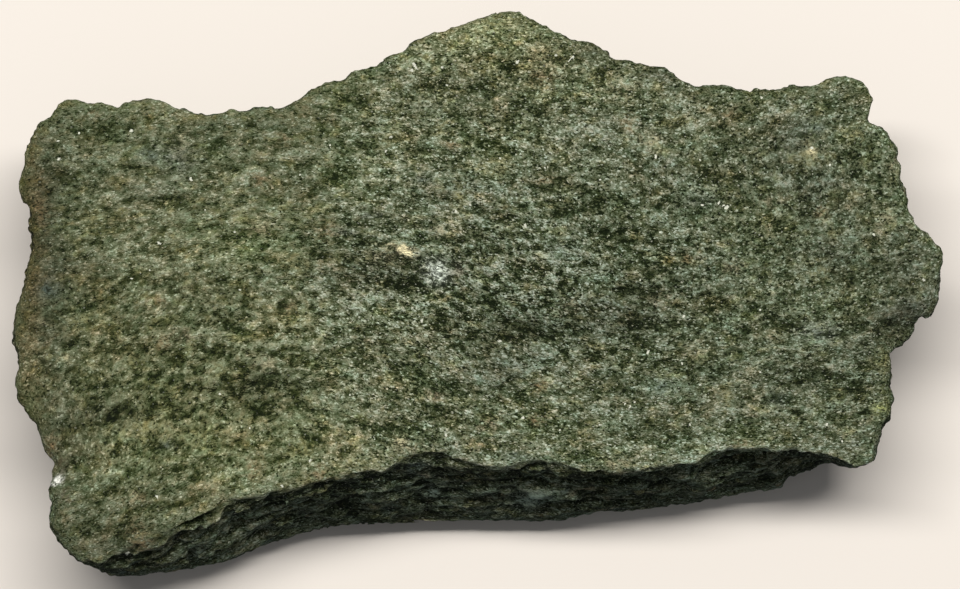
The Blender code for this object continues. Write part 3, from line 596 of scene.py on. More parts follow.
# ---------------------------------------------------------------- the run of the fibres
def fibres(x, y):
    """Coordinates along and across the fibres of the foliation, in millimetres."""
    xs = np.arange(-64, 64.5, 1.0)
    ys = np.arange(-42, 42.5, 1.0)
    gx, gy = np.meshgrid(xs, ys)
    rise = (
        0.20 * np.exp(-(((gx + 42) / 20) ** 2)) * (0.5 - 0.5 * np.tanh((gy + 2) / 22))
        + 0.06 * np.exp(-(((gx + 45) / 18) ** 2))
        - 0.19 * np.exp(-(((gx - 3) / 22) ** 2) - ((gy + 3) / 20) ** 2)
        + 0.05 * np.exp(-(((gx - 44) / 18) ** 2))
        + 0.05 * noise(gx / 17, gy / 15, 9.0, SEED + 30)
    )
    climb = np.cumsum(rise, 1)
    climb -= climb[:, [64]]
    fx, fy = np.clip((x + 64) / 1.0, 0, len(xs) - 1.001), np.clip((y + 42) / 1.0, 0, len(ys) - 1.001)
    ix, iy = fx.astype(int), fy.astype(int)
    tx, ty = fx - ix, fy - iy
    h = (
        climb[iy, ix] * (1 - tx) * (1 - ty) + climb[iy, ix + 1] * tx * (1 - ty)
        + climb[iy + 1, ix] * (1 - tx) * ty + climb[iy + 1, ix + 1] * tx * ty
    )
    return x + 0.25 * h, y - h


def ovals(px, py, table, spread=1.0):
    """For each place, its nearness to each listed oval, 1 in the middle and 0 outside, and the rest of its row."""
    for x, y, a, b, turn, *rest in table:
        c, s = math.cos(math.radians(turn)), math.sin(math.radians(turn))
        reach = max(a, b) * 2.4 * spread
        near = (np.abs(px - x) < reach) & (np.abs(py - y) < reach)
        dx, dy = px[near] - x, y - py[near]
        along_, across = dx * c + dy * s, -dx * s + dy * c
        yield near, np.exp(-((along_ / (a * spread)) ** 2) - (across / (b * spread)) ** 2), rest


def listed_hollows(px, py):
    """Depth and darkness of the listed hollows at places in plan units."""
    depth, dark = np.zeros(len(px)), np.zeros(len(px))
    for near, weight, (deep, shade) in ovals(px, py, HOLLOWS):
        depth[near] = np.maximum(depth[near], weight * deep)
        dark[near] = np.maximum(dark[near], weight * shade)
    return depth, dark


def rough_zone(px, py):
    """Where the face is torn most: its middle, and less so the left."""
    return np.clip(
        np.exp(-(((px - 500) / 190) ** 2) - ((py - 290) / 75) ** 2)
        + 0.5 * np.exp(-(((px - 250) / 120) ** 2) - ((py - 380) / 60) ** 2)
        + 0.35 * np.exp(-(((px - 830) / 70) ** 2) - ((py - 345) / 45) ** 2),
        0, 1,
    )


def contrast_zone(px, py):
    """How strongly the grains differ in lightness: least at the left, most in the middle."""
    return (
        0.50 + 0.31 * eased(px, 280, 420) + 0.19 * np.exp(-(((px - 500) / 190) ** 2) - ((py - 290) / 90) ** 2)
        + 0.05 * np.exp(-(((px - 510) / 120) ** 2) - ((py - 100) / 70) ** 2)
    )


# ---------------------------------------------------------------- broken surface
def roughened(points, normals, away):
    """The relief that the plain solid has too."""
    x, y, z = points.T
    up = normals[:, 2]
    face = np.clip((up - 0.55) / 0.3, 0, 1)
    back = np.clip((-up - 0.55) / 0.3, 0, 1)
    side = (1 - face - back) * np.clip((face_level(x, y) - z - 0.7) / 2.2, 0, 1)
    bed = z + 0.05 * x + 0.7 * noise(x / 14, y / 14, 2.1, SEED + 5)
    ledge = 0.55 * noise(x / 11, y / 11, bed / 2.6, SEED + 6) + 0.3 * noise(x / 4.5, y / 4.5, bed / 1.5, SEED + 7)
    plate = 0.22 * fractal(x / 7, y / 5, 0.0, SEED + 8, 3)
    step = 0.5 * np.tanh(4 * noise(x / 19, y / 13, 0.0, SEED + 9)) + 0.3 * np.tanh(5 * noise(x / 9, y / 7, 3.0, SEED + 10))
    flank = normals.copy()
    flank[:, 2] *= 0.3
    moved = points + flank * (side * np.minimum(ledge * 0.9, 0.04 + 0.4 * away))[:, None]
    moved[:, 2] += face * plate - back * (step + plate)
    return moved


def stairs(t, sharp):
    """A staircase of unit steps whose risers take a share of each tread."""
    base = np.floor(t)
    return base + eased(t - base, 0.5 - sharp / 2, 0.5 + sharp / 2)


def layered(points, normals, edge, away):
    """Coarse relief: torn layers on the flank, plates and hollows on the face, flakes on the back."""
    x, y, z = points.T
    up = normals[:, 2]
    px, py = seen(points)
    u, v = fibres(x, y)
    face = eased(up, 0.45, 0.8)
    back = eased(-up, 0.45, 0.8)
    side = 1 - face - back
    rough = rough_zone(px, py)

    # Layers of the flank: each bed has its own run of ledges.
    bed = (
        z - 0.16 * x * np.exp(-(((x + 38) / 16) ** 2)) + 0.05 * x + 0.9 * noise(x / 14, y / 14, 2.1, SEED + 5)
        + 1.0 * ripple(x / 5.5, y / 5.5, z / 6, 51) + 0.35 * ripple(x / 2.0, y / 2.0, z / 3, 54)
    )
    out = 0.34 * ripple(x / 3.2, y / 3.2, z / 2.2, 52) + 0.16 * ripple(x / 1.5, y / 1.5, z / 1.0, 53)
    broken = np.flatnonzero(side > 0.02)
    bx, by, bz = x[broken], y[broken], bed[broken]
    out[broken] += 0.50 * blocks(bx / 4.2, by / 4.2, bz / 2.1, 55) + 0.26 * blocks(bx / 1.9, by / 1.9, bz / 1.0, 56)
    for thick, reach, size, seed in ((2.6, 6.0, 0.34, 61), (1.2, 3.0, 0.18, 62), (0.6, 1.8, 0.07, 63)):
        t = bed / thick + 0.35 * ripple(x / (2 * reach), y / (2 * reach), 0.0, seed + 20)
        n = np.floor(t)
        here = ripple(x / reach, y / reach, n * 7.31, seed)
        above = ripple(x / reach, y / reach, (n + 1) * 7.31, seed)
        out += size * (here + (above - here) * eased(t - n, 0.72, 1.0))
    fade = np.clip((face_level(x, y) - z - 0.15) / 0.9, 0, 1)
    # The lower left of the flank is more torn; the outline itself stays put.
    torn = 1 + 0.5 * np.exp(-(((px - 180) / 80) ** 2) - ((py - 545) / 40) ** 2)
    guard = 0.12 + 0.88 * eased(np.abs(z - edge), 0.3, 2.2)
    flank = normals.copy()
    flank[:, 2] *= 0.15
    out = np.minimum(fade * guard * torn * out, 0.04 + 0.4 * away)
    move = flank * (side * out)[:, None]

    # A scalloped hollow under the thin lip at the lower right.
    below = side * eased(face_level(x, y) - z, 0.4, 1.8)
    scoop = np.exp(-(((px - 795) / 36) ** 2) - ((py - 462) / 13) ** 2)
    scoop += 0.5 * np.exp(-(((px - 735) / 26) ** 2) - ((py - 460) / 9) ** 2)
    move -= flank * (1.5 * scoop * below)[:, None]

    # Plates of the face: low terraces whose edges follow the fibres.
    tall = 2.6 * ripple(u / 13, v / 6.5, 0.0, 71) + 1.3 * ripple(u / 5.5, v / 2.6, 0.5, 72) + 0.7 * ripple(u / 2.6, v / 1.3, 1.0, 73)
    terrace = 0.19 * (stairs(tall * 1.3, 0.14) - 0.35 * tall)
    ridged = 1 - np.abs(ripple(u / 3.0, v / 1.2, 2.0, 74)) * 2
    fibre = 0.10 * ridged + 0.09 * ripple(u / 1.5, v / 0.8, 3.0, 75)
    flat = np.flatnonzero(face > 0.02)
    wu = u[flat] / 3.6 + 0.35 * ripple(u[flat] / 2.0, v[flat] / 1.2, 0.0, 77)
    wv = v[flat] / 1.7 + 0.35 * ripple(u[flat] / 2.2, v[flat] / 1.1, 5.0, 78)
    fibre[flat] += 0.115 * blocks(wu, wv, 0.5, 79, 1.0) + 0.065 * blocks(2.3 * wu, 2.0 * wv, 0.5, 80, 1.0)
    depth, _ = listed_hollows(px, py)
    streak = 0.75 + 0.5 * ripple(u / 2.2, v / 0.75, 4.0, 76)
    lift = face * ((0.7 + 0.9 * rough) * terrace + (0.65 + 1.25 * rough) * fibre - 0.9 * depth * streak)
    # Flakes of the back.
    flake = 2.2 * ripple(x / 12, y / 10, 5.0, 81) + 1.2 * ripple(x / 4.8, y / 4.1, 5.5, 82) + 0.6 * ripple(x / 2.1, y / 1.9, 6.0, 83)
    drop = back * (0.20 * (stairs(flake * 1.2, 0.3) - 0.4 * flake) + 0.06 * ripples(x / 1.8, y / 1.5, 7.0, 84, 2))
    moved = points + move
    moved[:, 2] += lift - drop
    return moved


def crumbed(points, normals, edge):
    """Fine relief along the surface's own normals: crumbs and grains."""
    x, y, z = points.T
    px, py = seen(points)
    u, v = fibres(x, y)
    rough = rough_zone(px, py)
    side = 1 - eased(np.abs(normals[:, 2]), 0.4, 0.8)
    back = eased(-normals[:, 2], 0.4, 0.8)
    brim = side * (1 - eased(np.abs(z - edge), 0.4, 1.4))
    grain = 0.050 * ripple(u / 1.2, v / 0.8, z / 0.6, 91) + 0.050 * ripple(u / 0.7, v / 0.55, z / 0.4, 92)
    crumb = 0.08 * ripple(x / 1.5, y / 1.5, z / 0.9, 93) + 0.09 * ripple(x / 0.8, y / 0.8, z / 0.55, 94)
    amount = (1 + 0.8 * rough) * grain * (1 - 0.4 * side) * (1 - 0.5 * back) + (side + 0.8 * brim) * crumb
    return points + normals * amount[:, None]


# ---------------------------------------------------------------- mesh helpers
def read(mesh):
    points = np.empty(len(mesh.vertices) * 3, np.float32)
    mesh.vertices.foreach_get("co", points)
    normals = np.empty(len(mesh.vertices) * 3, np.float32)
    mesh.vertices.foreach_get("normal", normals)
    return points.reshape(-1, 3).astype(float) * 1000, normals.reshape(-1, 3).astype(float)


def write(mesh, points):
    mesh.vertices.foreach_set("co", (points / 1000).astype(np.float32).ravel())
    mesh.update()


def with_modifier(obj, kind, **settings):
    modifier = obj.modifiers.new(kind.title(), kind)
    for name, value in settings.items():
        setattr(modifier, name, value)
    graph = bpy.context.evaluated_depsgraph_get()
    mesh = bpy.data.meshes.new_from_object(obj.evaluated_get(graph))
    obj.modifiers.clear()
    obj.data = mesh


def triangle_count(mesh):
    starts = np.empty(len(mesh.polygons), np.int32)
    mesh.polygons.foreach_get("loop_total", starts)
    return int((starts - 2).sum())


def edge_level(points, out, level):
    """The widest level nearest to each point, read along the outline, and the plan distance to the outline."""
    found, away = np.empty(len(points)), np.empty(len(points))
    step = 4
    ring, high = out[::step], level[::step]
    for a in range(0, len(points), 20000):
        part = points[a:a + 20000, :2]
        gap = (part[:, None, 0] - ring[None, :, 0]) ** 2 + (part[:, None, 1] - ring[None, :, 1]) ** 2
        near = np.argmin(gap, 1)
        found[a:a + 20000] = high[near]
        away[a:a + 20000] = np.sqrt(gap[np.arange(len(part)), near])
    return found, away


def tick(what):
    print(f"{what}: {time.time() - START:.1f} s")


def make_stone():
    made, out, level = rings()
    stone = bpy.data.objects.new("greenstone_rock", skin(made))
    bpy.context.scene.collection.objects.link(stone)
    tick("skin")
    with_modifier(stone, "REMESH", mode="VOXEL", voxel_size=SKIN_MM / 1000, adaptivity=0.0)
    points, normals = read(stone.data)
    tick(f"first remesh, {len(points)} points")
    points = roughened(points, normals, edge_level(points, out, level)[1])
    write(stone.data, points)
    points, normals = read(stone.data)
    points = layered(points, normals, *edge_level(points, out, level))
    write(stone.data, points)
    tick("layered")
    with_modifier(stone, "REMESH", mode="VOXEL", voxel_size=FINE_MM / 1000, adaptivity=0.0)
    points, normals = read(stone.data)
    tick(f"second remesh, {len(points)} points")
    points = crumbed(points, normals, edge_level(points, out, level)[0])
    write(stone.data, points)
    tick("crumbed")
    stone.data.validate()
    with_modifier(
        stone, "DECIMATE", decimate_type="COLLAPSE", ratio=TRIANGLES / triangle_count(stone.data),
        use_collapse_triangulate=True,
    )
    tick(f"thinned to {triangle_count(stone.data)}")
    bm = bmesh.new()
    bm.from_mesh(stone.data)
    for vert in bm.verts:
        if abs(vert.co.z) < 0.00008:
            vert.co.z = 0.0
    bmesh.ops.bisect_plane(
        bm, geom=bm.verts[:] + bm.edges[:] + bm.faces[:], dist=1e-7,
        plane_co=(0, 0, 0), plane_no=(0, 0, 1), clear_inner=True,
    )
    bmesh.ops.holes_fill(bm, edges=[e for e in bm.edges if e.is_boundary], sides=0)
    bmesh.ops.triangulate(bm, faces=[f for f in bm.faces if len(f.verts) > 3])
    bm.to_mesh(stone.data)
    bm.free()
    tick("flat")
    return stone, out, level


def camera_and_lights(shift):
    cam = bpy.data.cameras.new("camera")
    cam.lens = 300
    cam.sensor_width = 36
    cam.clip_start, cam.clip_end = 0.05, 30
    eye = bpy.data.objects.new("camera", cam)
    eye.location = (shift[0] / 1000, shift[1] / 1000, (EYE_MM + FACE_MM) / 1000)
    eye.rotation_euler = (0, 0, 0)
    bpy.context.scene.collection.objects.link(eye)
    bpy.context.scene.camera = eye

    key = bpy.data.lights.new("key", "AREA")
    key.shape = "RECTANGLE"
    key.size, key.size_y = 1.5, 0.22
    key.energy = 23.7
    key.color = (1.0, 0.985, 0.955)
    lamp = bpy.data.objects.new("key", key)
    lamp.location = (0.0, 0.49, 1.22)
    lamp.rotation_euler = (-Vector(lamp.location)).to_track_quat("-Z", "Y").to_euler()
    lamp.visible_camera = False
    bpy.context.scene.collection.objects.link(lamp)

    # Weak light from above, a little more along the horizon for the sides, and very little from below.
    world = bpy.data.worlds.new("studio")
    bpy.context.scene.world = world
    world.use_nodes = True
    tree = world.node_tree
    where = tree.nodes.new("ShaderNodeTexCoord")
    parts = tree.nodes.new("ShaderNodeSeparateXYZ")
    tree.links.new(where.outputs["Generated"], parts.inputs[0])
    fade = tree.nodes.new("ShaderNodeValToRGB")
    levels = ((0.0, 0.05), (0.5, 0.35), (0.6, 0.30), (0.70, 0.07), (1.0, 0.22))
    while len(fade.color_ramp.elements) < len(levels):
        fade.color_ramp.elements.new(0.5)
    for element, (place, shade) in zip(fade.color_ramp.elements, levels):
        element.position = place
        element.color = (shade * 0.97, shade, shade * 1.04, 1)
    half = tree.nodes.new("ShaderNodeMath")
    half.operation = "MULTIPLY_ADD"
    half.inputs[1].default_value = half.inputs[2].default_value = 0.5
    tree.links.new(parts.outputs[2], half.inputs[0])
    tree.links.new(half.outputs[0], fade.inputs[0])
    tree.links.new(fade.outputs[0], tree.nodes["Background"].inputs["Color"])

    bm = bmesh.new()
    bmesh.ops.create_grid(bm, x_segments=1, y_segments=1, size=6.0)
    mesh = bpy.data.meshes.new("floor")
    bm.to_mesh(mesh)
    bm.free()
    floor = bpy.data.objects.new("floor", mesh)
    floor.location.z = -0.00002
    floor.visible_diffuse = False
    floor.visible_glossy = False
    bpy.context.scene.collection.objects.link(floor)
    paper = bpy.data.materials.new("floor")
    paper.use_nodes = True
    shader = paper.node_tree.nodes["Principled BSDF"]
    shader.inputs["Base Color"].default_value = (0.775, 0.720, 0.663, 1)
    shader.inputs["Roughness"].default_value = 0.95
    shader.inputs["Specular IOR Level"].default_value = 0.1
    mesh.materials.append(paper)

    # A pale backdrop round the floor, for low views. It lights nothing.
    bm = bmesh.new()
    bmesh.ops.create_cone(bm, cap_ends=False, segments=64, radius1=5.6, radius2=5.6, depth=6.0)
    mesh = bpy.data.meshes.new("backdrop")
    bm.to_mesh(mesh)
    bm.free()
    screen = bpy.data.objects.new("backdrop", mesh)
    screen.location.z = 2.9
    for kind in ("diffuse", "glossy", "transmission", "volume_scatter", "shadow"):
        setattr(screen, "visible_" + kind, False)
    bpy.context.scene.collection.objects.link(screen)
    glow = bpy.data.materials.new("backdrop")
    glow.use_nodes = True
    glow.node_tree.nodes.clear()
    light = glow.node_tree.nodes.new("ShaderNodeEmission")
    light.inputs["Color"].default_value = (0.87, 0.82, 0.75, 1)
    out = glow.node_tree.nodes.new("ShaderNodeOutputMaterial")
    glow.node_tree.links.new(light.outputs[0], out.inputs[0])
    mesh.materials.append(glow)
    bpy.context.scene.view_settings.view_transform = "Standard"


# ---------------------------------------------------------------- finish of the rock
def neighbours_mean(values, pairs, count, passes):
    """Values eased over the mesh's edges."""
    degree = np.bincount(pairs[:, 0], minlength=count) + np.bincount(pairs[:, 1], minlength=count)
    for _ in range(passes):
        total = np.zeros_like(values)
        if values.ndim == 1:
            total = np.bincount(pairs[:, 0], values[pairs[:, 1]], count) + np.bincount(pairs[:, 1], values[pairs[:, 0]], count)
            values = 0.5 * values + 0.5 * total / degree
        else:
            for k in range(values.shape[1]):
                column = values[:, k]
                total = np.bincount(pairs[:, 0], column[pairs[:, 1]], count) + np.bincount(pairs[:, 1], column[pairs[:, 0]], count)
                values[:, k] = 0.5 * column + 0.5 * total / degree
    return values


def zone_colour(px, py, z):
    """Slow changes of the rock's own colour over the stone, as a multiplier."""
    def blob(x, y, a, b):
        return np.exp(-(((px - x) / a) ** 2) - ((py - y) / b) ** 2)

    warm = 0.55 * blob(130, 300, 190, 230) + 0.7 * blob(480, 40, 150, 70) + 0.5 * blob(200, 430, 170, 60)
    cool = 0.6 * blob(760, 330, 190, 170) + 0.4 * blob(560, 250, 190, 90) + 0.4 * blob(170, 160, 40, 25)
    light = (
        0.22 * blob(280, 455, 190, 35) + 0.10 * blob(200, 370, 110, 40) + 0.12 * blob(545, 60, 60, 30)
        + 0.22 * blob(625, 88, 40, 20) + 0.15 * blob(390, 140, 60, 30) + 0.15 * blob(370, 190, 40, 20)
        + 0.12 * blob(245, 235, 60, 30) + 0.18 * blob(290, 315, 60, 30) + 0.22 * blob(515, 415, 70, 22)
        + 0.22 * blob(250, 245, 44, 22) + 0.18 * blob(346, 168, 32, 22) + 0.16 * blob(768, 220, 38, 30)
        + 0.20 * blob(348, 92, 32, 18) + 0.20 * blob(748, 434, 42, 14) + 0.18 * blob(498, 146, 36, 18)
        + 0.17 * blob(416, 381, 40, 18) + 0.18 * blob(411, 313, 34, 18) + 0.17 * blob(748, 100, 34, 14)
        + 0.15 * blob(629, 351, 34, 18) + 0.13 * blob(322, 369, 34, 18) + 0.14 * blob(574, 436, 40, 14)
        + 0.16 * blob(745, 444, 42, 12) + 0.12 * blob(256, 246, 40, 20) + 0.12 * blob(498, 148, 36, 18) + 0.12 * blob(640, 450, 120, 20) + 0.15 * blob(480, 35, 60, 25)
    )
    dark = (
        0.30 * blob(40, 200, 22, 80) + 0.04 * blob(330, 180, 40, 25) + 0.20 * blob(380, 272, 60, 22)
        + 0.20 * blob(540, 325, 90, 22) + 0.18 * blob(630, 315, 50, 30) + 0.20 * blob(815, 190, 50, 40)
        + 0.25 * blob(110, 415, 40, 20) + 0.22 * blob(260, 385, 60, 18) + 0.10 * blob(70, 180, 50, 30)
        + 0.15 * blob(875, 335, 40, 30) + 0.15 * blob(440, 90, 60, 25) + 0.12 * blob(820, 380, 60, 20)
        + 0.06 * blob(160, 330, 120, 70) + 0.10 * blob(790, 200, 90, 100) + 0.07 * blob(780, 380, 90, 50)
        + 0.03 * blob(200, 445, 120, 40) + 0.03 * blob(520, 420, 150, 40)
        + 0.33 * blob(32, 330, 38, 95) + 0.28 * blob(56, 455, 38, 50) + 0.24 * blob(910, 270, 34, 50)
        + 0.20 * blob(115, 545, 45, 22) + 0.26 * blob(905, 315, 30, 16) + 0.15 * blob(592, 52, 26, 14)
        + 0.22 * blob(834, 260, 36, 24) + 0.22 * blob(796, 137, 30, 24) + 0.18 * blob(453, 190, 34, 16)
        + 0.18 * blob(442, 446, 52, 11) + 0.17 * blob(663, 76, 34, 14) + 0.16 * blob(82, 267, 34, 22)
        + 0.15 * blob(498, 367, 40, 14) + 0.15 * blob(151, 192, 36, 18) + 0.14 * blob(842, 444, 30, 14)
        + 0.13 * blob(663, 165, 34, 18) + 0.15 * blob(160, 545, 46, 16) + 0.07 * blob(790, 260, 130, 200)
        + 0.10 * blob(927, 306, 24, 20) + 0.14 * blob(594, 53, 26, 14) + 0.14 * blob(661, 75, 34, 14)
        + 0.12 * blob(612, 120, 34, 16) + 0.10 * blob(699, 273, 40, 18) + 0.12 * blob(502, 366, 40, 14)
    )
    edge_brown = 0.9 * np.exp(-(((px - 30) / 14) ** 2)) * blob(30, 280, 60, 190)
    right = blob(800, 270, 130, 160)
    tone = 1 + 1.4 * light - 1.4 * dark
    r = tone * (0.98 + 0.10 * warm - 0.04 * cool + 0.25 * edge_brown - 0.015 * right)
    g = tone * (1 + 0.03 * warm - 0.00 * cool + 0.02 * edge_brown)
    b = tone * (1 - 0.16 * warm + 0.05 * cool - 0.20 * edge_brown - 0.10 * right)
    return np.stack([r, g, b], 1)


def add_attributes(stone, out, level):
    mesh = stone.data
    count = len(mesh.vertices)
    points, normals = read(mesh)
    pairs = np.empty(len(mesh.edges) * 2, np.int32)
    mesh.edges.foreach_get("vertices", pairs)
    pairs = pairs.reshape(-1, 2)
    px, py = seen(points)
    x, y, z = points.T
    u, v = fibres(x, y)
    up = normals[:, 2]

    # How far each point stands out of its surroundings, in millimetres. The finish paints raised points paler and
    # hollows darker from it: painted light and painted shade.
    near = neighbours_mean(points.copy(), pairs, count, 3)
    wide = neighbours_mean(points.copy(), pairs, count, 24)
    relief_light_and_shade = np.einsum("ij,ij->i", points - near, normals) + 0.5 * np.einsum("ij,ij->i", points - wide, normals)
    # The rim stands out of its surroundings everywhere, which is no reason to paint it paler.
    edge, away = edge_level(points, out, level)
    relief_light_and_shade *= 1 - (1 - eased(away, 0.4, 2.6)) * eased(z, edge + 0.3, edge + 1.5)

    # Along the lower lip, raised points get less of the painted highlight.
    lip = np.array(LOWER_RIM, float)[::-1]
    past_lip = py - np.interp(px, lip[:, 0], lip[:, 1])
    at_lip = np.exp(-((past_lip / 12) ** 2)) * (px > 95) * (px < 858)
    relief_light_and_shade = np.where(relief_light_and_shade > 0, relief_light_and_shade * (1 - 0.7 * at_lip), relief_light_and_shade)

    below = face_level(x, y) - z
    # Up-facing ledges of the flank, most of all at the lower left corner, count partly as top and are partly spared
    # the painted shade of the sides.
    ledge = 0.3 + 0.35 * np.exp(-(((px - 150) / 70) ** 2))
    top = np.maximum(1 - eased(below, 0.6, 2.4), ledge * eased(up, 0.35, 0.8) * eased(z, 3, 6))
    # Painted shade in the listed hollows, partly their darker mineral.
    _, dark = listed_hollows(px, py)
    dark *= top * np.clip(0.75 + 1.1 * ripple(u / 2.2, v / 0.8, 8.0, 101), 0, 1.4)
    # Painted shade: the broken lower flank, which the key light misses, is marked for the darkest dimming, and a band
    # just under the lip, where the overhang's shadow falls, is darkened most.
    deep = eased(px, 60, 110) * (1 - eased(px, 830, 880)) * eased(past_lip, -10, 4) * eased(z, 0.5, 3.5)
    dark = np.maximum(dark, 0.5 * (1 - top) * deep * np.exp(-(((past_lip - 9) / 8) ** 2)))
    tint_and_rim_light = zone_colour(px, py, z)
    tint_and_rim_light = 1 + (tint_and_rim_light - 1) * (0.35 + 0.65 * eased(z, 9, 15))[:, None]
    # Painted light: a paler band along the worn rim, paler still at the two ends.
    rim_light = (1 - eased(away, 0.1, 0.9)) * (1 - eased(below, 1.0, 2.2))
    tint_and_rim_light *= (0.98 + (0.16 + 0.32 * eased(np.abs(x), 38, 48)) * rim_light)[:, None]

    patch = np.zeros((count, 3))
    amount, weighed = np.zeros(count), np.zeros(count)
    ragged = 1 + 0.5 * ripple(u / 0.9, v / 0.7, z / 0.7, 102)
    seen_from_top = eased(up, -0.1, 0.25)
    for near_, weight, (strength, kind) in ovals(px, py, PATCHES):
        sure = weight * strength * ragged[near_] * seen_from_top[near_]
        if kind == "white":
            sure = sure * (1 - eased(below[near_], 1.2, 2.6))
        w = np.clip(sure, 0, 1)
        patch[near_] = patch[near_] * (1 - w[:, None]) + np.array(COLOURS[kind]) * w[:, None]
        weighed[near_] = weighed[near_] * (1 - w) + w
        amount[near_] = amount[near_] * (1 - w) + np.maximum(w, np.clip(1.6 * sure - 1, 0, 3))
    # Patches of the same kinds, strewn over the sides and the back.
    hue = ripple(x / 5.5, y / 5.5, z / 3.5, 103)
    for kind, low, shift_ in (("yellow", 0.42, 0.0), ("rust", 0.50, 31.0), ("teal", 0.42, 57.0), ("buff", 0.52, 83.0)):
        field = ripple(x / 2.6 + shift_, y / 2.6, z / 1.5, 104) + 0.35 * hue
        w = eased(field, low, low + 0.45) * (1 - top) * 0.7
        patch = patch * (1 - w[:, None]) + np.array(COLOURS[kind]) * w[:, None]
        weighed = weighed * (1 - w) + w
        amount = amount * (1 - w) + w

    # Offset to the nearest listed white grain, in units of its half size; far off elsewhere.
    offset = np.full((count, 3), 9.0)
    best = np.full(count, 1e9)
    for gx, gy, half in GRAINS:
        size, turn = 0.85 * half, gx * 0.37 + gy * 0.83
        dx, dy = (px - gx) / size, (gy - py) / size
        dx, dy = (dx * math.cos(turn) + dy * math.sin(turn)) / 1.2, (dy * math.cos(turn) - dx * math.sin(turn)) / 0.85
        far = np.hypot(dx, dy)
        closer = (far < best) & (np.hypot(px - gx, py - gy) < 9 + half) & (up > 0.0)
        best[closer] = far[closer]
        offset[closer] = np.stack([dx[closer], dy[closer], np.zeros(closer.sum())], 1)

    def store(name, kind, values):
        layer = mesh.attributes.new(name, kind, "POINT")
        field = {"FLOAT": "value", "FLOAT_VECTOR": "vector", "FLOAT_COLOR": "color"}[kind]
        layer.data.foreach_set(field, np.ascontiguousarray(values, np.float32).ravel())

    store("fibre", "FLOAT_VECTOR", np.stack([u, v, z + 0.05 * x], 1))
    store("tint_and_rim_light", "FLOAT_VECTOR", tint_and_rim_light)
    store("patch", "FLOAT_VECTOR", patch / np.maximum(weighed, 1e-4)[:, None])
    store("patchiness", "FLOAT", amount)
    store("dark", "FLOAT", np.clip(dark, 0, 1))
    store("relief_light_and_shade", "FLOAT", relief_light_and_shade)
    store("grain", "FLOAT_VECTOR", offset)
    store("top", "FLOAT", top)
    store("deep", "FLOAT", deep)
    store("torn", "FLOAT", rough_zone(px, py) * top)
    store("contrast", "FLOAT", 1 + top * (contrast_zone(px, py) - 1))


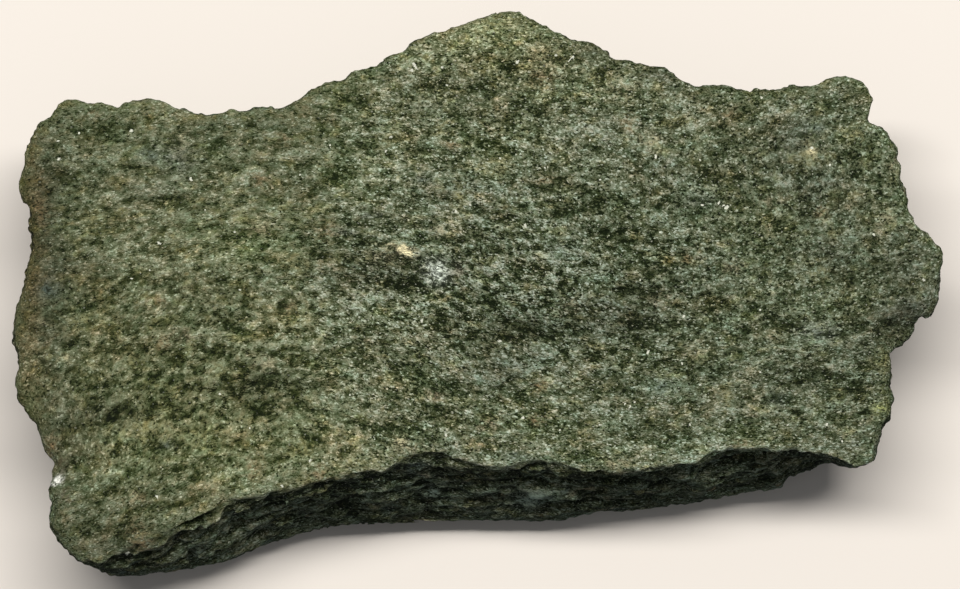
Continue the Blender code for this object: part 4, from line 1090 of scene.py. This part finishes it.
def rock_material():
    rock = bpy.data.materials.new("greenstone")
    rock.use_nodes = True
    tree = rock.node_tree
    tree.nodes.clear()

    def node(kind, **settings):
        made = tree.nodes.new(kind)
        for name, value in settings.items():
            if name.startswith("in_"):
                made.inputs[name[3:].replace("_", " ")].default_value = value
            else:
                setattr(made, name, value)
        return made

    def link(a, b):
        tree.links.new(a, b)

    def attribute(name, kind="Vector"):
        return node("ShaderNodeAttribute", attribute_type="GEOMETRY", attribute_name=name).outputs[kind]

    def plug(socket, value):
        if isinstance(value, bpy.types.NodeSocket):
            link(value, socket)
        else:
            socket.default_value = value

    def math_(kind, a, b=None, c=None, clamp=False):
        made = node("ShaderNodeMath", operation=kind, use_clamp=clamp)
        for k, value in enumerate((a, b, c)):
            if value is not None:
                plug(made.inputs[k], value)
        return made.outputs[0]

    def vector_(kind, a, b=None):
        made = node("ShaderNodeVectorMath", operation=kind)
        plug(made.inputs[0], a)
        if b is not None:
            plug(made.inputs[3 if kind == "SCALE" else 1], b)
        return made.outputs[1 if kind in ("LENGTH", "DISTANCE", "DOT_PRODUCT") else 0]

    def mixed(factor, a, b, blend="MIX"):
        made = node("ShaderNodeMix", data_type="RGBA", blend_type=blend)
        plug(made.inputs[0], factor)
        plug(made.inputs[6], a)
        plug(made.inputs[7], b)
        return made.outputs[2]

    def noise_(vector, scale, detail=2.0, roughness=0.5, distortion=0.0, out="Factor"):
        made = node("ShaderNodeTexNoise", in_Scale=scale, in_Detail=detail, in_Roughness=roughness, in_Distortion=distortion)
        link(vector, made.inputs["Vector"])
        return made.outputs[0 if out == "Factor" else 1]

    def ramp(value, stops, interpolation="LINEAR"):
        made = node("ShaderNodeValToRGB")
        made.color_ramp.interpolation = interpolation
        while len(made.color_ramp.elements) < len(stops):
            made.color_ramp.elements.new(0.5)
        for element, (place, colour) in zip(made.color_ramp.elements, stops):
            element.position = place
            element.color = (*colour, 1) if len(colour) == 3 else colour
        link(value, made.inputs[0])
        return made.outputs[0]

    def span(value, low, high, to_low=0.0, to_high=1.0, smooth=True):
        made = node("ShaderNodeMapRange", interpolation_type="SMOOTHSTEP" if smooth else "LINEAR")
        plug(made.inputs[0], value)
        for k, v in enumerate((low, high, to_low, to_high)):
            made.inputs[1 + k].default_value = v
        return made.outputs[0]

    fibre = attribute("fibre")
    # Fibrous space: long along the fibres, thin through the beds.
    long_ = vector_("MULTIPLY", fibre, (0.55, 1.0, 1.7))
    short = vector_("MULTIPLY", fibre, (0.78, 1.12, 1.3))

    # Grains: two sizes of cells with their own values, ragged by noise.
    wobble = noise_(short, 2.2, 1.0, 0.6, out="Color")
    bent = vector_("ADD", short, vector_("SCALE", vector_("SUBTRACT", wobble, (0.5, 0.5, 0.5)), 0.35))
    cell = node("ShaderNodeTexVoronoi", feature="F1", in_Scale=2.3)
    link(bent, cell.inputs["Vector"])
    cell_small = node("ShaderNodeTexVoronoi", feature="F1", in_Scale=4.6)
    link(bent, cell_small.inputs["Vector"])
    cell_value = node("ShaderNodeSeparateColor")
    link(cell.outputs["Color"], cell_value.inputs[0])
    small_value = node("ShaderNodeSeparateColor")
    link(cell_small.outputs["Color"], small_value.inputs[0])

    fine = noise_(long_, 4.2, 2.0, 0.75)
    mid = noise_(long_, 1.1, 2.0, 0.6)
    coarse = noise_(long_, 0.30, 2.0, 0.55)
    vast = noise_(short, 0.11, 1.0, 0.55)

    value = math_("MULTIPLY", math_("SUBTRACT", fine, 0.5), 1.15)
    value = math_("MULTIPLY_ADD", math_("SUBTRACT", noise_(short, 5.5, 1.0, 0.6), 0.5), 0.75, value)
    value = math_("MULTIPLY_ADD", math_("SUBTRACT", mid, 0.5), 0.46, value)
    value = math_("MULTIPLY_ADD", math_("SUBTRACT", coarse, 0.5), 0.40, value)
    value = math_("MULTIPLY_ADD", math_("SUBTRACT", vast, 0.5), 0.54, value)
    value = math_("MULTIPLY_ADD", math_("SUBTRACT", cell_value.outputs[0], 0.5), 0.22, value)
    small = math_("SUBTRACT", small_value.outputs[0], 0.5)
    value = math_("MULTIPLY_ADD", math_("MULTIPLY", small, math_("MULTIPLY", small, small)), 3.4, value)
    # Most grains are near the middle tone, a few are much paler or darker.
    value = math_("MULTIPLY", value, math_("MULTIPLY_ADD", math_("ABSOLUTE", value), 1.60, 0.75))
    value = math_("MULTIPLY_ADD", value, attribute("contrast", "Fac"), 0.498)
    # Streaks along the beds of the broken flank.
    broken = math_("SUBTRACT", 1.0, attribute("top", "Fac"))
    streak = math_("SUBTRACT", noise_(vector_("MULTIPLY", fibre, (0.28, 0.45, 0.75)), 1.0, 2.0, 0.65), 0.5)
    streak = math_("MULTIPLY", streak, broken)
    value = math_("MULTIPLY_ADD", streak, 1.1, value)
    # Painted shade: short dark slits between the flakes, the shade in their cracks; they are also cut into the bump.
    lined = noise_(vector_("MULTIPLY", fibre, (0.42, 1.5, 1.5)), 1.35, 2.0, 0.55)
    slit_shade = span(math_("ABSOLUTE", math_("SUBTRACT", lined, 0.5)), 0.042, 0.008)
    slit_shade = math_("MULTIPLY", slit_shade, span(noise_(short, 0.75, 2.0), 0.47, 0.60))
    slit_shade = math_("MULTIPLY", slit_shade, math_("MULTIPLY_ADD", attribute("torn", "Fac"), 0.42, 0.20))
    value = math_("SUBTRACT", value, slit_shade)
    # Painted shade from the dark attribute: in the listed hollows and in a band under the lower lip.
    shade = math_("MULTIPLY", attribute("dark", "Fac"), span(noise_(long_, 1.6, 2.0), 0.35, 0.60, 1.0, 0.45))
    value = math_("MULTIPLY_ADD", shade, -0.50, value)
    # Painted light and shade: raised points paler, hollows darker.
    value = math_("MULTIPLY_ADD", math_("MINIMUM", math_("MAXIMUM", attribute("relief_light_and_shade", "Fac"), -0.17), 0.12), 1.7, value)

    base = ramp(value, [
        (0.05, (0.0042, 0.0084, 0.0004)), (0.20, (0.0178, 0.0262, 0.0052)), (0.32, (0.0415, 0.0525, 0.0190)),
        (0.44, (0.0768, 0.0903, 0.0448)), (0.53, (0.1125, 0.1257, 0.0710)), (0.65, (0.168, 0.1846, 0.1150)),
        (0.77, (0.236, 0.2580, 0.178)), (0.92, (0.345, 0.373, 0.278)), (1.0, (0.44, 0.47, 0.375)),
    ])

    # Mineral hues, in small clouds.
    hue = noise_(short, 0.55, 2.0, 0.60)
    olive = span(hue, 0.50, 0.75)
    cold = span(hue, 0.48, 0.27)
    base = mixed(olive, base, mixed(1.0, base, (1.10, 1.03, 0.80, 1), "MULTIPLY"))
    base = mixed(cold, base, mixed(1.0, base, (0.94, 1.00, 1.01, 1), "MULTIPLY"))
    ruddy = noise_(short, 0.26, 2.0, 0.62)
    base = mixed(span(ruddy, 0.50, 0.73), base, mixed(1.0, base, (1.14, 1.00, 0.93, 1), "MULTIPLY"))
    base = mixed(span(ruddy, 0.50, 0.29), base, mixed(1.0, base, (0.93, 1.00, 0.95, 1), "MULTIPLY"))
    fleck = noise_(short, 1.5, 1.0, 0.6)
    base = mixed(span(fleck, 0.52, 0.66), base, mixed(1.0, base, (1.08, 1.00, 0.97, 1), "MULTIPLY"))
    base = mixed(span(fleck, 0.48, 0.34), base, mixed(1.0, base, (0.93, 1.00, 0.99, 1), "MULTIPLY"))
    rusty = span(noise_(short, 0.42, 2.0, 0.62), 0.64, 0.80)
    base = mixed(math_("MULTIPLY", rusty, 0.6), base, mixed(1.0, base, (1.45, 1.14, 0.82, 1), "MULTIPLY"))
    # The broken flank and the back are darker: partly their chlorite, partly painted shade; the lower flank is
    # darkened most, which is painted shade.
    dim = mixed(attribute("deep", "Fac"), (0.62, 0.67, 0.62, 1), (0.42, 0.48, 0.45, 1))
    base = mixed(attribute("top", "Fac"), mixed(1.0, base, dim, "MULTIPLY"), base)

    # The zone tint, with the painted light along the rim.
    base = mixed(1.0, base, attribute("tint_and_rim_light"), "MULTIPLY")

    # Listed and strewn patches take their colour at the grain's own lightness.
    sure = math_("SUBTRACT", attribute("patchiness", "Fac"), 1.0, clamp=True)
    grainy = math_("ADD", span(value, 0.25, 0.75, 0.45, 1.45), math_("MULTIPLY", sure, 0.25))
    patch_lit = mixed(1.0, attribute("patch"), math_("MAXIMUM", grainy, math_("MULTIPLY", sure, 0.95)), "MULTIPLY")
    crumbly = noise_(short, 1.5, 2.0, 0.6)
    patch_in = math_("MULTIPLY", attribute("patchiness", "Fac"), span(crumbly, 0.36, 0.60, 0.30, 1.15))
    patch_in = math_("MULTIPLY", patch_in, span(value, 0.20, 0.45, 0.3, 1.0))
    patch_in = math_("MULTIPLY_ADD", sure, 0.8, patch_in, clamp=True)
    base = mixed(patch_in, base, patch_lit)

    # White grains: the listed ones, and a sparse strewing of tiny ones.
    ragged = vector_("ADD", attribute("grain"), vector_("SCALE", vector_("SUBTRACT", noise_(fibre, 3.0, 1.0, 0.7, out="Color"), (0.5, 0.5, 0.5)), 2.0))
    listed = span(vector_("LENGTH", ragged), 1.05, 0.65)
    strewn = node("ShaderNodeTexVoronoi", feature="F1", in_Scale=1.25)
    link(bent, strewn.inputs["Vector"])
    strewn_value = node("ShaderNodeSeparateColor")
    link(strewn.outputs["Color"], strewn_value.inputs[0])
    tiny = math_("MULTIPLY", span(strewn.outputs["Distance"], 0.17, 0.10), math_("GREATER_THAN", strewn_value.outputs[0], 0.78))
    tiny = math_("MULTIPLY", tiny, span(attribute("contrast", "Fac"), 0.5, 0.9, 0.5, 1.0))
    base = mixed(math_("MULTIPLY", tiny, span(strewn_value.outputs[1], 0.0, 1.0, 0.2, 0.9)), base, (0.42, 0.43, 0.33, 1))
    sugar = node("ShaderNodeTexVoronoi", feature="F1", in_Scale=2.7)
    link(bent, sugar.inputs["Vector"])
    sugar_value = node("ShaderNodeSeparateColor")
    link(sugar.outputs["Color"], sugar_value.inputs[0])
    spark = math_("MULTIPLY", span(sugar.outputs["Distance"], 0.30, 0.16), math_("GREATER_THAN", sugar_value.outputs[0], 0.68))
    calm = span(attribute("contrast", "Fac"), 0.5, 0.9, 0.45, 1.0)
    spark = math_("MULTIPLY", spark, calm)
    base = mixed(math_("MULTIPLY", spark, span(sugar_value.outputs[1], 0.0, 1.0, 0.05, 0.75)), base, (0.40, 0.415, 0.325, 1))
    # Painted shade: tiny dark pits, darkened in the colour alone.
    pit_shade = math_("MULTIPLY", span(sugar.outputs["Distance"], 0.42, 0.20), math_("LESS_THAN", sugar_value.outputs[0], 0.22))
    pit_shade = math_("MULTIPLY", pit_shade, calm)
    base = mixed(math_("MULTIPLY", pit_shade, span(sugar_value.outputs[2], 0.0, 1.0, 0.1, 0.85)), base, (0.014, 0.018, 0.007, 1))
    base = mixed(listed, base, (0.68, 0.69, 0.57, 1))

    # Relief finer than the mesh.
    height = math_("MULTIPLY_ADD", math_("SUBTRACT", fine, 0.5), 0.72, math_("MULTIPLY", cell_small.outputs["Distance"], -0.35))
    height = math_("MULTIPLY_ADD", math_("SUBTRACT", mid, 0.5), 0.63, height)
    height = math_("MULTIPLY_ADD", small_value.outputs[1], 0.16, height)
    height = math_("MULTIPLY_ADD", cell_value.outputs[1], 0.26, height)
    height = math_("MULTIPLY_ADD", slit_shade, -0.6, height)
    height = math_("MULTIPLY_ADD", streak, 2.7, height)
    bump = node("ShaderNodeBump", in_Strength=1.0, in_Distance=0.00020)
    link(height, bump.inputs["Height"])

    rough = span(math_("MULTIPLY_ADD", small_value.outputs[2], 0.6, math_("MULTIPLY", value, 0.4)), 0.15, 0.85, 0.92, 0.62)
    glint = math_("MAXIMUM", listed, tiny)
    rough = math_("MULTIPLY_ADD", glint, -0.22, rough)

    shader = node("ShaderNodeBsdfPrincipled")
    link(base, shader.inputs["Base Color"])
    link(rough, shader.inputs["Roughness"])
    link(bump.outputs["Normal"], shader.inputs["Normal"])
    shader.inputs["Specular IOR Level"].default_value = 0.17
    result = node("ShaderNodeOutputMaterial")
    link(shader.outputs[0], result.inputs[0])
    return rock


def main():
    stone, out, level = make_stone()
    points, _ = read(stone.data)
    low, high = points.min(0), points.max(0)
    shift = -(low + high)[:2] / 2
    camera_and_lights(shift)
    add_attributes(stone, out, level)
    tick("attributes")
    points[:, :2] += shift
    write(stone.data, points)
    stone.data.shade_smooth()
    stone.data.set_sharp_from_angle(angle=math.radians(36))
    stone.data.materials.clear()
    stone.data.materials.append(rock_material())
    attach(stone, "root")
    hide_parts("greenstone")
    print("shift mm", shift, "box mm", (low, high), "triangles", triangle_count(stone.data))
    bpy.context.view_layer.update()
    tick("done")


main()
